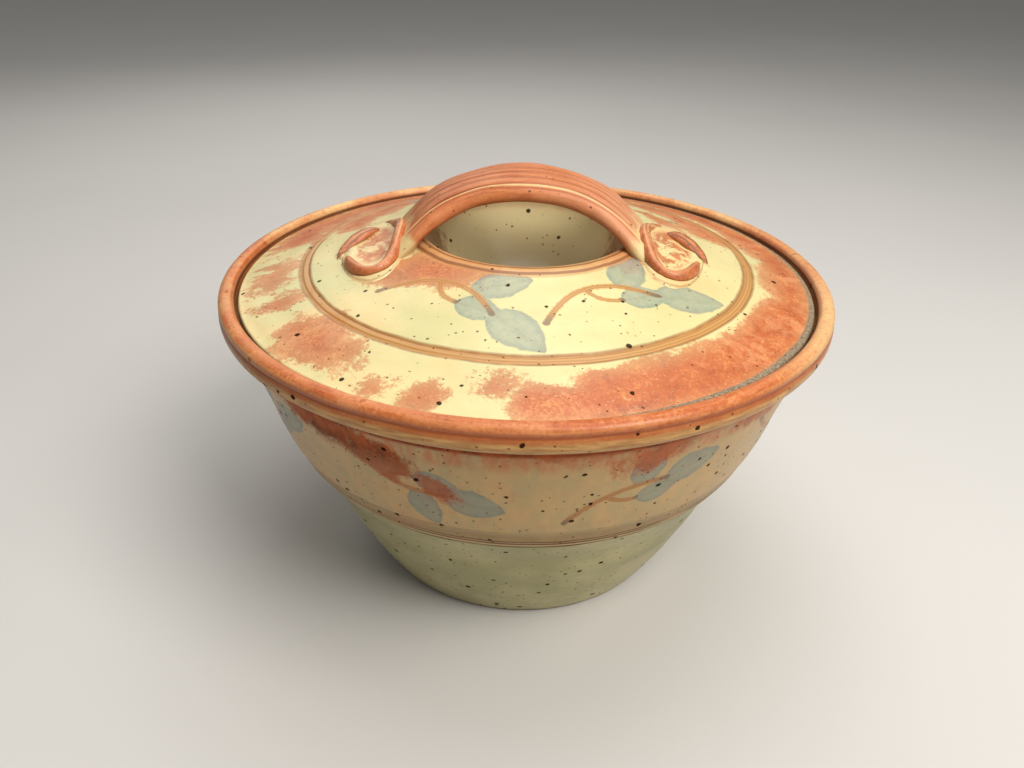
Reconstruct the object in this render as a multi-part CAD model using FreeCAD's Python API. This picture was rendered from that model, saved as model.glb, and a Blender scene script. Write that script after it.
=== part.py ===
import FreeCAD, Part
import os
from math import asin, copysign, cos, exp, hypot, pi, radians, sin, sqrt

# Stoneware bean pot, thrown on the wheel, in millimetres.
# A wide flared vessel carries a loose lid in the gallery of its rim. The lid rises as a low cone
# to a sunken well, and a ribbed strap handle bridges the well, so that a hand closes round the
# strap with its knuckles in the well. Each end of the strap is pressed onto a pad and finished
# with a curl at the front and a bud at the back.
# The frame: +Z up, origin at the centre of the foot on the table, the handle along X, the
# curls towards -Y.

# ---------------------------------------------------------------- vessel
FOOT_RADIUS = 81.5          # where the wall reaches the table
FOOT_CHAMFER = 1.8
FOOT_RING_WIDTH = 10.0      # turned ring that the pot stands on
FOOT_RECESS = 2.4           # depth of the turned hollow inside the ring
WAIST_RADIUS = 110.0        # lower wall, just below the incised lines
WAIST_HEIGHT = 61.5
SHOULDER_RADIUS = 119.6     # upper wall, at the incised lines
SHOULDER_HEIGHT = 76.0
NECK_HEIGHT = 143.5         # underside of the rolled rim
LOWER_BULGE = 1.0           # how far each stretch of wall swells past a straight line
UPPER_BULGE = 1.6
WALL = 7.0
FLOOR = 9.0
FLOOR_FILLET = 16.0

# ---------------------------------------------------------------- rim and gallery
GALLERY_RADIUS = 141.8      # bore that holds the lid
GALLERY_DEPTH = 6.0         # ledge below the rim's inner edge
RIM_THICKNESS = 8.2         # from the gallery bore to the widest point
RIM_CREST = 3.2             # top bead above the rim's inner edge
NECK_INSET = 0.7            # wall below the rim, inside the gallery bore
NOTCH_DEPTH = 1.1           # line between the top bead and the lower bead
NOTCH_DROP = 1.4            # that line below the rim's inner edge
LOWER_BEAD_INSET = 0.3      # lower bead inside the widest point
LEDGE_HEIGHT = 147.6

# ---------------------------------------------------------------- incised lines
LINE_WIDTH = 1.5            # across the mouth of a turned line
LINE_DEPTH = 0.5
LINE_PITCH = 3.0            # between the two lines of a pair
BAND_HEIGHT = 11.0          # soft band above the pair on the wall

# ---------------------------------------------------------------- lid
LID_GAP = 1.4               # between the lid's edge and the gallery bore
LID_EDGE = 5.6              # edge height above the ledge
LID_EDGE_ROUND = 1.5
LID_WALL = 6.5
LID_RISE = 24.6             # well lip above the lid's edge
RING_RADIUS = 108.5         # pair of turned lines round the lid
WELL_RADIUS = 50.0
WELL_LIP = 8.0              # width of the rolled lip
WELL_LIP_RISE = 1.2         # lip above the cone
LIP_CREST_SHARE = 0.42      # of the lip's width, from the well to its highest point
WELL_DEPTH = 42.0
WELL_FILLET = 7.0

# ---------------------------------------------------------------- handle
HANDLE_SHIFT = -2.0         # the whole handle sits a little left of the middle
STRAP_WIDTH = 42.0
STRAP_FOOT_WIDTH = 62.0
STRAP_OFFSET = -1.5         # the bridge and, more so, the feet sit to the front
FOOT_OFFSET = -5.0
STRAP_EDGE = 7.0            # thickness at the strap's edges
STRAP_CROWN = 3.0           # extra thickness in the middle
STRAP_SIDE_SWELL = 1.4
RIB_COUNT = 4
RIB_DEPTH = 0.8
RIDGE_PLACE = -0.88         # sharp ridge along the front edge, in half widths of the top
RIDGE_WIDTH = 0.07
RIDGE_RISE = 0.7
FLARE_START = 0.2           # share of the half arch before the strap starts to widen
THIN_START = 0.5            # share of the half arch before the strap thins
FOOT_THINNING = 0.45        # share of its thickness that is gone at the end
SPLAY_START = 0.66          # share of the half arch before the feet run out of the arch
FOOT_SPLAY = 3.5
FINGER_HEIGHT = 19.0        # from the well lip up to the strap
HANDLE_REACH = 52.0         # from the middle to where the strap's underside lands
STRAP_ROOT = 5.0            # how far the strap runs on below the lid's surface

# Curl, bud and pad at each foot
CURL_WIDTH = 6.4            # the roll at its thickest
CURL_HEIGHT = 4.0           # half its height there
CURL_LIFT = 0.2             # how far its middle is above the lid, as a share of CURL_HEIGHT
LOOP_WIDTH = 26.4           # plan size of the loop that the curl follows
LOOP_LENGTH = 61.0
LOOP_TILT = radians(8)      # its back end leans outwards
LOOP_OUTSET = 19.0          # from where the strap lands out to the loop's middle
LOOP_FORWARD = 9.5          # from the middle of the strap's foot forward to the loop's middle
CURL_TURNS = (0.06, 0.13, 0.20, 0.27, 0.34, 0.41, 0.48, 0.56, 0.64, 0.71)   # along the loop
CURL_SIZES = (0.60, 0.84, 0.94, 1.0, 1.0, 1.0, 1.0, 0.95, 0.85, 0.6)        # share of the full
EDGE_START = 0.75           # the curl comes down from the foot between these shares of its
EDGE_END = 1.2              # half width
BUD_WIDTH = 9.4
BUD_HEIGHT = 4.6
BUD_LIFT = 0.1
BUD_START = (0.5, 21.0)     # its rounded end at the back, from the loop's middle
BUD_END = (17.0, -7.0)      # its tail beside the curl's tip
BUD_BOW = 2.4
BUD_SHARES = (0.0, 0.2, 0.45, 0.75, 1.0)
BUD_SIZES = (0.35, 0.85, 1.0, 0.7, 0.3)
PAD_HEIGHT = 1.6

# ---------------------------------------------------------------- fineness of the curves
WALL_SAMPLES = 9            # points along the wall that the inside follows
STRAP_STATIONS = 12         # spans of the strap's loft
RIB_POINTS = 6              # curve points to a rib
ROLL_POINTS = 10            # curve points round a roll
LOOP_POINTS = 12            # curve points round a pad
ANGLE_STEP = radians(0.5)   # search step along the arch
SPLAY_ROUNDS = 8            # search steps from a place on a foot to its angle
HALVINGS = 40               # search steps up the wall
NEAR = 0.6                  # how far an edge may be from where it is looked for


def vec(x, y, z):
    """A FreeCAD vector."""
    return FreeCAD.Vector(x, y, z)


def rz(r, z):
    """A point of a turned profile: radius and height in the XZ plane."""
    return vec(r, 0, z)


def line(a, b):
    """A straight edge."""
    return Part.LineSegment(a, b).toShape()


def arc(a, through, b):
    """A circular edge through three points."""
    return Part.Arc(a, through, b).toShape()


def spline(points, periodic=False):
    """A smooth curve through the points."""
    curve = Part.BSplineCurve()
    curve.interpolate(Points=points, PeriodicFlag=periodic)
    return curve


def outward(solid):
    """The solid with its faces turned outwards."""
    return solid if solid.Volume > 0 else solid.reversed()


def turned(edges):
    """The solid that a closed profile sweeps round the wheel's axis."""
    face = Part.Face(Part.Wire(edges))
    return outward(face.revolve(vec(0, 0, 0), vec(0, 0, 1), 360))


def lofted(sections):
    """The solid through closed sections."""
    return outward(Part.makeLoft(sections, True))


def largest(cut):
    """The largest solid that a cut left, without its slivers."""
    return max(cut.Solids, key=lambda solid: solid.Volume)


def out_of(along):
    """The direction out of a rising profile that runs along a direction."""
    return vec(along.z, 0, -along.x).normalize()


def bulged_middle(a, b, bulge):
    """The point halfway from a to b, pushed outwards by bulge."""
    return (a + b) * 0.5 + out_of(b - a) * bulge


def circle_edges(solid, corner):
    """The circular edges of a turned solid that run through a corner of its profile."""
    found = []
    for edge in solid.Edges:
        box = edge.BoundBox
        at_height = max(abs(box.ZMin - corner.z), abs(box.ZMax - corner.z)) < NEAR
        if at_height and abs(box.XMax - corner.x) < NEAR and abs(box.XMin + corner.x) < NEAR:
            found.append(edge)
    return found


def cut_lines(solid, places):
    """Cuts a V-shaped turned line into a turned solid at each point of its profile.

    places are pairs of a surface point and the direction out of the surface there.
    """
    for point, away in places:
        along = vec(-away.z, 0, away.x)
        top = point + away * LINE_DEPTH
        corners = [top + along * LINE_WIDTH, point - away * LINE_DEPTH, top - along * LINE_WIDTH]
        edges = [line(corners[i - 1], corners[i]) for i in range(3)]
        solid = solid.cut(turned(edges))
    return solid


# ================================================================ vessel

NECK_RADIUS = GALLERY_RADIUS - NECK_INSET
RIM_RADIUS = GALLERY_RADIUS + RIM_THICKNESS
RIM_INNER_Z = LEDGE_HEIGHT + GALLERY_DEPTH
LEDGE_INNER = NECK_RADIUS - WALL


def outer_wall():
    """The outside of the wall, from the foot up to the underside of the rim."""
    foot = rz(FOOT_RADIUS, FOOT_CHAMFER)
    waist = rz(WAIST_RADIUS, WAIST_HEIGHT)
    shoulder = rz(SHOULDER_RADIUS, SHOULDER_HEIGHT)
    neck = rz(NECK_RADIUS, NECK_HEIGHT)
    lower = bulged_middle(foot, waist, LOWER_BULGE)
    upper = bulged_middle(shoulder, neck, UPPER_BULGE)
    return spline([foot, lower, waist, shoulder, upper, neck])


def wall_at(curve, height):
    """The point of a rising wall curve at a height, and its direction there."""
    low, high = curve.FirstParameter, curve.LastParameter
    for _ in range(HALVINGS):
        middle = (low + high) / 2
        if curve.value(middle).z < height:
            low = middle
        else:
            high = middle
    return curve.value(low), curve.tangent(low)[0]


def inner_wall(outer):
    """The inside of the wall: the outside moved in by the wall's thickness, ledge to floor."""
    points = []
    for i in range(WALL_SAMPLES):
        share = i / (WALL_SAMPLES - 1)
        at = outer.FirstParameter + share * (outer.LastParameter - outer.FirstParameter)
        point = outer.value(at) - out_of(outer.tangent(at)[0]) * WALL
        if FLOOR + WALL < point.z < NECK_HEIGHT - WALL:
            points.append(point)
    near_floor, along = wall_at(outer, FLOOR)
    points.insert(0, rz(near_floor.x - WALL / along.z, FLOOR))
    points.append(rz(LEDGE_INNER, NECK_HEIGHT))
    return spline(points)


def pot_body():
    """The thrown vessel with its turned foot, rolled rim and gallery ledge."""
    outer = outer_wall()
    inner = inner_wall(outer)
    neck = outer.value(outer.LastParameter)
    inner_top = inner.value(inner.LastParameter)
    inner_foot = inner.value(inner.FirstParameter)

    notch = rz(RIM_RADIUS - NOTCH_DEPTH, RIM_INNER_Z - NOTCH_DROP)
    lower_bead = rz(RIM_RADIUS - LOWER_BEAD_INSET, (NECK_HEIGHT + notch.z) / 2)
    rim_inner = rz(GALLERY_RADIUS, RIM_INNER_Z)
    crest = rz((GALLERY_RADIUS + RIM_RADIUS) / 2, RIM_INNER_Z + RIM_CREST)
    ledge_corner = rz(GALLERY_RADIUS, LEDGE_HEIGHT)
    ledge_edge = rz(LEDGE_INNER, LEDGE_HEIGHT)

    ring_inner = FOOT_RADIUS - FOOT_CHAMFER - FOOT_RING_WIDTH
    foot_edge = rz(FOOT_RADIUS - FOOT_CHAMFER, 0)
    ring_edge = rz(ring_inner, 0)
    recess_edge = rz(ring_inner - FOOT_RECESS, FOOT_RECESS)

    body = turned([
        outer.toShape(),
        arc(neck, lower_bead, notch),
        arc(notch, crest, rim_inner),
        line(rim_inner, ledge_corner),
        line(ledge_corner, ledge_edge),
        line(ledge_edge, inner_top),
        inner.toShape(),
        line(inner_foot, rz(0, FLOOR)),
        line(rz(0, FLOOR), rz(0, FOOT_RECESS)),
        line(rz(0, FOOT_RECESS), recess_edge),
        line(recess_edge, ring_edge),
        line(ring_edge, foot_edge),
        line(foot_edge, outer.value(outer.FirstParameter)),
    ])
    body = body.makeFillet(FLOOR_FILLET, circle_edges(body, inner_foot))

    places = []
    for rise in (0, LINE_PITCH, BAND_HEIGHT):
        point, along = wall_at(outer, SHOULDER_HEIGHT + rise)
        places.append((point, out_of(along)))
    return cut_lines(body, places)


# ================================================================ lid

LID_RADIUS = GALLERY_RADIUS - LID_GAP
LID_EDGE_Z = LEDGE_HEIGHT + LID_EDGE
CONE_EDGE_RADIUS = LID_RADIUS - LID_EDGE_ROUND
LIP_OUTER = WELL_RADIUS + WELL_LIP
LIP_Z = LID_EDGE_Z + LID_RISE
CONE_TOP_Z = LIP_Z - WELL_LIP_RISE
CONE_SLOPE = (CONE_TOP_Z - LID_EDGE_Z) / (CONE_EDGE_RADIUS - LIP_OUTER)
SEAT_INNER = LEDGE_INNER - LID_GAP


def lid_top(radius):
    """The height of the lid's cone at a radius."""
    return LID_EDGE_Z + CONE_SLOPE * (CONE_EDGE_RADIUS - radius)


def bowl_points(rim_radius, centre_z, radius):
    """The start, middle and lowest point of a round bowl's profile, from its rim down."""
    points = []
    for share in (1.0, 0.5, 0.0):
        angle = asin(rim_radius / radius) * share
        points.append(rz(radius * sin(angle), centre_z - radius * cos(angle)))
    return points


def lid_edge_profile():
    """The lid's edge: up from the seat, round the corners and onto the cone."""
    seat_corner = rz(CONE_EDGE_RADIUS, LEDGE_HEIGHT)
    low = rz(LID_RADIUS, LEDGE_HEIGHT + LID_EDGE_ROUND)
    high = rz(LID_RADIUS, LID_EDGE_Z - LID_EDGE_ROUND)
    cone_edge = rz(CONE_EDGE_RADIUS, LID_EDGE_Z)
    corner = LID_EDGE_ROUND * (1 - sqrt(0.5))
    return [
        arc(seat_corner, rz(LID_RADIUS - corner, LEDGE_HEIGHT + corner), low),
        line(low, high),
        arc(high, rz(LID_RADIUS - corner, LID_EDGE_Z - corner), cone_edge),
        line(cone_edge, rz(LIP_OUTER, CONE_TOP_Z)),
    ]


def lid_plate():
    """The thrown lid: seat, cone, rolled lip and sunken well."""
    lip_start = rz(LIP_OUTER, CONE_TOP_Z)
    lip_crest = rz(WELL_RADIUS + WELL_LIP * LIP_CREST_SHARE, LIP_Z)
    lip_inner = rz(WELL_RADIUS, CONE_TOP_Z)
    bowl_radius = (WELL_RADIUS ** 2 + WELL_DEPTH ** 2) / (2 * WELL_DEPTH)
    bowl_centre = CONE_TOP_Z - WELL_DEPTH + bowl_radius
    inside = bowl_points(WELL_RADIUS, bowl_centre, bowl_radius)

    drop = LID_WALL * hypot(1, CONE_SLOPE)
    under_radius = bowl_radius + LID_WALL
    join_radius = WELL_RADIUS
    for _ in range(HALVINGS):
        join_z = lid_top(join_radius) - drop
        join_radius = sqrt(under_radius ** 2 - (join_z - bowl_centre) ** 2)
    under = bowl_points(join_radius, bowl_centre, under_radius)
    seat_step = rz(SEAT_INNER, lid_top(SEAT_INNER) - drop)
    seat_edge = rz(SEAT_INNER, LEDGE_HEIGHT)

    plate = turned(lid_edge_profile() + [
        arc(lip_start, lip_crest, lip_inner),
        arc(*inside),
        line(inside[2], under[2]),
        arc(*under),
        line(under[0], seat_step),
        line(seat_step, seat_edge),
        line(seat_edge, rz(CONE_EDGE_RADIUS, LEDGE_HEIGHT)),
    ])
    plate = plate.makeFillet(WELL_FILLET, circle_edges(plate, under[0]))

    away = vec(CONE_SLOPE, 0, 1).normalize()
    radii = [RING_RADIUS - LINE_PITCH / 2, RING_RADIUS + LINE_PITCH / 2]
    return cut_lines(plate, [(rz(r, lid_top(r)), away) for r in radii])


def lid_filled():
    """Everything below the lid's upper surface, with the well closed: what handle pieces sit on."""
    base_z = LEDGE_HEIGHT - WELL_DEPTH
    lip_inner = rz(WELL_RADIUS, CONE_TOP_Z)
    lip_crest = rz(WELL_RADIUS + WELL_LIP * LIP_CREST_SHARE, LIP_Z)
    return turned(lid_edge_profile() + [
        arc(rz(LIP_OUTER, CONE_TOP_Z), lip_crest, lip_inner),
        line(lip_inner, rz(0, lip_inner.z)),
        line(rz(0, lip_inner.z), rz(0, base_z)),
        line(rz(0, base_z), rz(CONE_EDGE_RADIUS, base_z)),
        line(rz(CONE_EDGE_RADIUS, base_z), rz(CONE_EDGE_RADIUS, LEDGE_HEIGHT)),
    ])


# ================================================================ handle

STRAP_LAND_Z = lid_top(hypot(HANDLE_REACH, STRAP_FOOT_WIDTH / 2))
ARCH_RISE = LIP_Z + FINGER_HEIGHT - STRAP_LAND_Z
ARCH_RADIUS = (HANDLE_REACH ** 2 + ARCH_RISE ** 2) / (2 * ARCH_RISE)
ARCH_CENTRE_Z = STRAP_LAND_Z + ARCH_RISE - ARCH_RADIUS


def strap_end_angle():
    """The angle from the vertical at which the strap's upper face is well below the lid."""
    top_radius = ARCH_RADIUS + STRAP_EDGE + STRAP_CROWN
    angle = asin(HANDLE_REACH / ARCH_RADIUS)
    while ARCH_CENTRE_Z + top_radius * cos(angle) > lid_top(top_radius * sin(angle)) - STRAP_ROOT:
        angle += ANGLE_STEP
    return angle


STRAP_END_ANGLE = strap_end_angle()


def eased(angle, start):
    """0 up to a share of the half arch, rising smoothly to 1 at the strap's end."""
    share = (abs(angle) / STRAP_END_ANGLE - start) / (1 - start)
    share = min(max(share, 0.0), 1.0)
    return share * share * (3 - 2 * share)


def thickness(angle, share):
    """The strap's thickness at a share of its half width, without ribs."""
    full = STRAP_EDGE + STRAP_CROWN * (1 - share ** 2)
    return full * (1 - FOOT_THINNING * eased(angle, THIN_START))


def splay(angle):
    """How far a section near a foot stands out past the arch."""
    share = (abs(angle) / STRAP_END_ANGLE - SPLAY_START) / (1 - SPLAY_START)
    return copysign(FOOT_SPLAY * min(max(share, 0.0), 1.0) ** 2, angle)


def top_relief(share):
    """The height of ribs and front ridge at a share of the top's half width."""
    rib = RIB_DEPTH * (cos(pi * RIB_COUNT * (share + 1)) - 1) / 2
    return rib + RIDGE_RISE * exp(-((share - RIDGE_PLACE) / RIDGE_WIDTH) ** 2)


def strap_section(angle):
    """The strap's closed section in the radial plane at an angle from the vertical."""
    spread = eased(angle, FLARE_START)
    half = (STRAP_WIDTH + (STRAP_FOOT_WIDTH - STRAP_WIDTH) * spread) / 2
    middle = STRAP_OFFSET + (FOOT_OFFSET - STRAP_OFFSET) * spread
    ridge = half - STRAP_SIDE_SWELL
    sole = half - 2 * STRAP_SIDE_SWELL

    def place(across, up):
        radius = ARCH_RADIUS + up
        x = HANDLE_SHIFT + splay(angle) + radius * sin(angle)
        return vec(x, middle + across, ARCH_CENTRE_Z + radius * cos(angle))

    steps = RIB_POINTS * RIB_COUNT
    top = []
    for i in range(steps + 1):
        share = 2 * i / steps - 1
        top.append(place(ridge * share, thickness(angle, share) + top_relief(share)))
    waist = thickness(angle, 1) / 2
    return Part.Wire([
        spline(top).toShape(),
        arc(top[-1], place(half, waist), place(sole, 0)),
        line(place(sole, 0), place(-sole, 0)),
        arc(place(-sole, 0), place(-half, waist), top[0]),
    ])


def handle_strap(seat):
    """The pulled strap: an arch of ribbed sections, cut off where it lands on the lid."""
    shares = [2 * i / STRAP_STATIONS - 1 for i in range(STRAP_STATIONS + 1)]
    angles = [STRAP_END_ANGLE * share for share in shares]
    return lofted([strap_section(a) for a in angles]).cut(seat)


# ================================================================ curls, buds and pads
# side is 1 at the right end of the strap and -1 at the left.

def placed(side, out, back):
    """A plan point at one end of the strap, given from the middle of the right end's loop."""
    x = HANDLE_REACH + LOOP_OUTSET + out
    return side * x + HANDLE_SHIFT, FOOT_OFFSET - LOOP_FORWARD + back


def loop_point(side, turn):
    """A plan point of the tilted oval loop at the strap's foot; turn 0 is at the back."""
    u = -LOOP_WIDTH / 2 * sin(2 * pi * turn)
    v = LOOP_LENGTH / 2 * cos(2 * pi * turn)
    out = u * cos(LOOP_TILT) + v * sin(LOOP_TILT)
    back = v * cos(LOOP_TILT) - u * sin(LOOP_TILT)
    return placed(side, out, back)


def bud_point(side, share):
    """A plan point along the bud, which bows outwards between its two ends."""
    run_out, run_back = BUD_END[0] - BUD_START[0], BUD_END[1] - BUD_START[1]
    bow = BUD_BOW * 4 * share * (1 - share) / hypot(run_out, run_back)
    out = BUD_START[0] + run_out * share - run_back * bow
    back = BUD_START[1] + run_back * share + run_out * bow
    return placed(side, out, back)


def strap_top(out, share):
    """The height of the strap's foot at a distance from the handle's middle.

    share is the place across it, -1 at the front edge and 1 at the back.
    """
    angle = asin(HANDLE_REACH / ARCH_RADIUS)
    for _ in range(SPLAY_ROUNDS):
        radius = ARCH_RADIUS + thickness(angle, share)
        angle = asin(min((out - splay(angle)) / radius, 1.0))
    return ARCH_CENTRE_Z + (ARCH_RADIUS + thickness(angle, share)) * cos(angle)


def rest_height(x, y):
    """The height of the surface that a roll lies on: the lid's cone or the strap's foot.

    The roll comes down gently from the foot to the lid at the foot's front and back edges.
    """
    lid_z = lid_top(hypot(x, y))
    share = (y - FOOT_OFFSET) / (STRAP_FOOT_WIDTH / 2)
    on_foot = min(max((EDGE_END - abs(share)) / (EDGE_END - EDGE_START), 0.0), 1.0)
    foot_z = strap_top(abs(x - HANDLE_SHIFT), max(-1.0, min(share, 1.0)))
    return lid_z + max(foot_z - lid_z, 0.0) * on_foot


def roll(plan, sizes, width, height, lift):
    """A soft roll of clay laid along a plan line.

    sizes are the roll's share of its full width and height at each plan point, and lift raises
    its middle above the surface by a share of its height.
    """
    centres = [vec(x, y, rest_height(x, y)) for x, y in plan]
    path = spline(centres)
    up = vec(0, 0, 1)
    sections = []
    for centre, size in zip(centres, sizes):
        tangent = path.tangent(path.parameter(centre))[0]
        across = tangent.cross(up).normalize()
        middle = centre + up * (lift * height * size)
        ring = []
        for k in range(ROLL_POINTS):
            angle = 2 * pi * k / ROLL_POINTS
            side_step = across * (width / 2 * size * cos(angle))
            ring.append(middle + side_step + up * (height * size * sin(angle)))
        sections.append(Part.Wire(spline(ring, True).toShape()))
    return lofted(sections)


def front_curl(side, seat, strap):
    """The long curl: over the strap's end, round the front and back to its tip."""
    plan = [loop_point(side, turn) for turn in CURL_TURNS]
    curl = roll(plan, CURL_SIZES, CURL_WIDTH, CURL_HEIGHT, CURL_LIFT)
    return largest(curl.cut(seat).cut(strap))


def back_bud(side, seat, strap, curl):
    """The slender bud that closes the loop from its back to the curl's tip."""
    plan = [bud_point(side, share) for share in BUD_SHARES]
    bud = roll(plan, BUD_SIZES, BUD_WIDTH, BUD_HEIGHT, BUD_LIFT)
    return largest(bud.cut(seat).cut(strap).cut(curl))


def foot_pad(side, seat, neighbours):
    """The pressed pad inside the loop, which joins strap, curl and bud to the lid."""
    plan = [vec(*loop_point(side, k / LOOP_POINTS), LEDGE_HEIGHT) for k in range(LOOP_POINTS)]
    oval = Part.Face(Part.Wire(spline(plan, True).toShape()))
    block = outward(oval.extrude(vec(0, 0, LIP_Z - LEDGE_HEIGHT)))
    pad = block.common(seat.translated(vec(0, 0, PAD_HEIGHT))).cut(seat)
    for other in neighbours:
        pad = pad.cut(other)
    return largest(pad)


def build():
    """Every piece by name."""
    seat = lid_filled()
    strap = handle_strap(seat)
    pieces = {"pot_body": pot_body(), "lid_plate": lid_plate(), "handle_strap": strap}
    for word, side in (("left", -1), ("right", 1)):
        curl = front_curl(side, seat, strap)
        bud = back_bud(side, seat, strap, curl)
        pieces["handle_curl_" + word] = curl
        pieces["handle_bud_" + word] = bud
        pieces["handle_pad_" + word] = foot_pad(side, seat, [strap, curl, bud])
    return pieces


def main():
    """Writes one STEP file per piece."""
    os.makedirs("parts", exist_ok=True)
    for name, shape in build().items():
        shape.exportStep("parts/" + name + ".step")
        box = shape.optimalBoundingBox()
        low = [round(v, 1) for v in (box.XMin, box.YMin, box.ZMin)]
        high = [round(v, 1) for v in (box.XMax, box.YMax, box.ZMax)]
        print(name, len(shape.Solids), "solids", round(shape.Volume / 1000, 2), "cm3",
              shape.isValid(), low, high)


main()
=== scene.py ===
"""Dresses the stoneware bean pot: thrown forms, pulled strap handle and fired glazes."""
import logging
import math
from dataclasses import dataclass
from enum import Enum
from typing import Sequence, Union

import bmesh
import bpy
import numpy as np
from mathutils import Matrix, Vector


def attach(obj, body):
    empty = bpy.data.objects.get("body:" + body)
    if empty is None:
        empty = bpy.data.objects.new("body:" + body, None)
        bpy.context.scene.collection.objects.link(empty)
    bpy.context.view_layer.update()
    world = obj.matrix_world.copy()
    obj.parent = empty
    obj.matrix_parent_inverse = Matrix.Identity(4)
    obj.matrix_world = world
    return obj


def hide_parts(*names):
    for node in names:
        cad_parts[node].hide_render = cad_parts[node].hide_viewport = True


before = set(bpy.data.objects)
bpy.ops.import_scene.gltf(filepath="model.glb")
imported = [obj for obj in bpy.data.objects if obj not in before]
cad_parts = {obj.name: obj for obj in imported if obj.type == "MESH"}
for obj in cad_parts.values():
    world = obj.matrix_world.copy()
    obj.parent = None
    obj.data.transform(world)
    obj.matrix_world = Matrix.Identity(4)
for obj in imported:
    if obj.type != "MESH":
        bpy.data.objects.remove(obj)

log = logging.getLogger("bean_pot")

MM = 0.001
UPRIGHT_RUN = (1.0, 1.0, 0.3)  # draws noise out upwards, as glaze that ran down
FAR_FROM_STROKES = 20.0  # in half widths
Socket = bpy.types.NodeSocket
Value = Union[Socket, float]
Colour = tuple[float, float, float, float]
Point = tuple[float, float]
Triple = tuple[float, float, float]
Number = Union[float, np.ndarray]
Tone = Union[Socket, Colour]
Piece = bpy.types.Object
Finish = bpy.types.Material


class Side(Enum):
    """The two ends of the strap handle."""

    LEFT = -1
    RIGHT = 1


class Slot(Enum):
    """The record's material slots."""

    BODY = "body_glaze"
    LID = "lid_glaze"
    HANDLE = "handle_glaze"
    CURL = "curl_glaze"
    PAD = "pad_glaze"


def srgb(red: int, green: int, blue: int) -> Colour:
    """A display colour of 0 to 255 as the linear colour that a shader takes."""
    def linear(part: int) -> float:
        """One channel's linear share."""
        share = part / 255
        return share / 12.92 if share <= 0.04045 else ((share + 0.055) / 1.055) ** 2.4
    return (linear(red), linear(green), linear(blue), 1.0)


# ==== shader nodes


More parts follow.
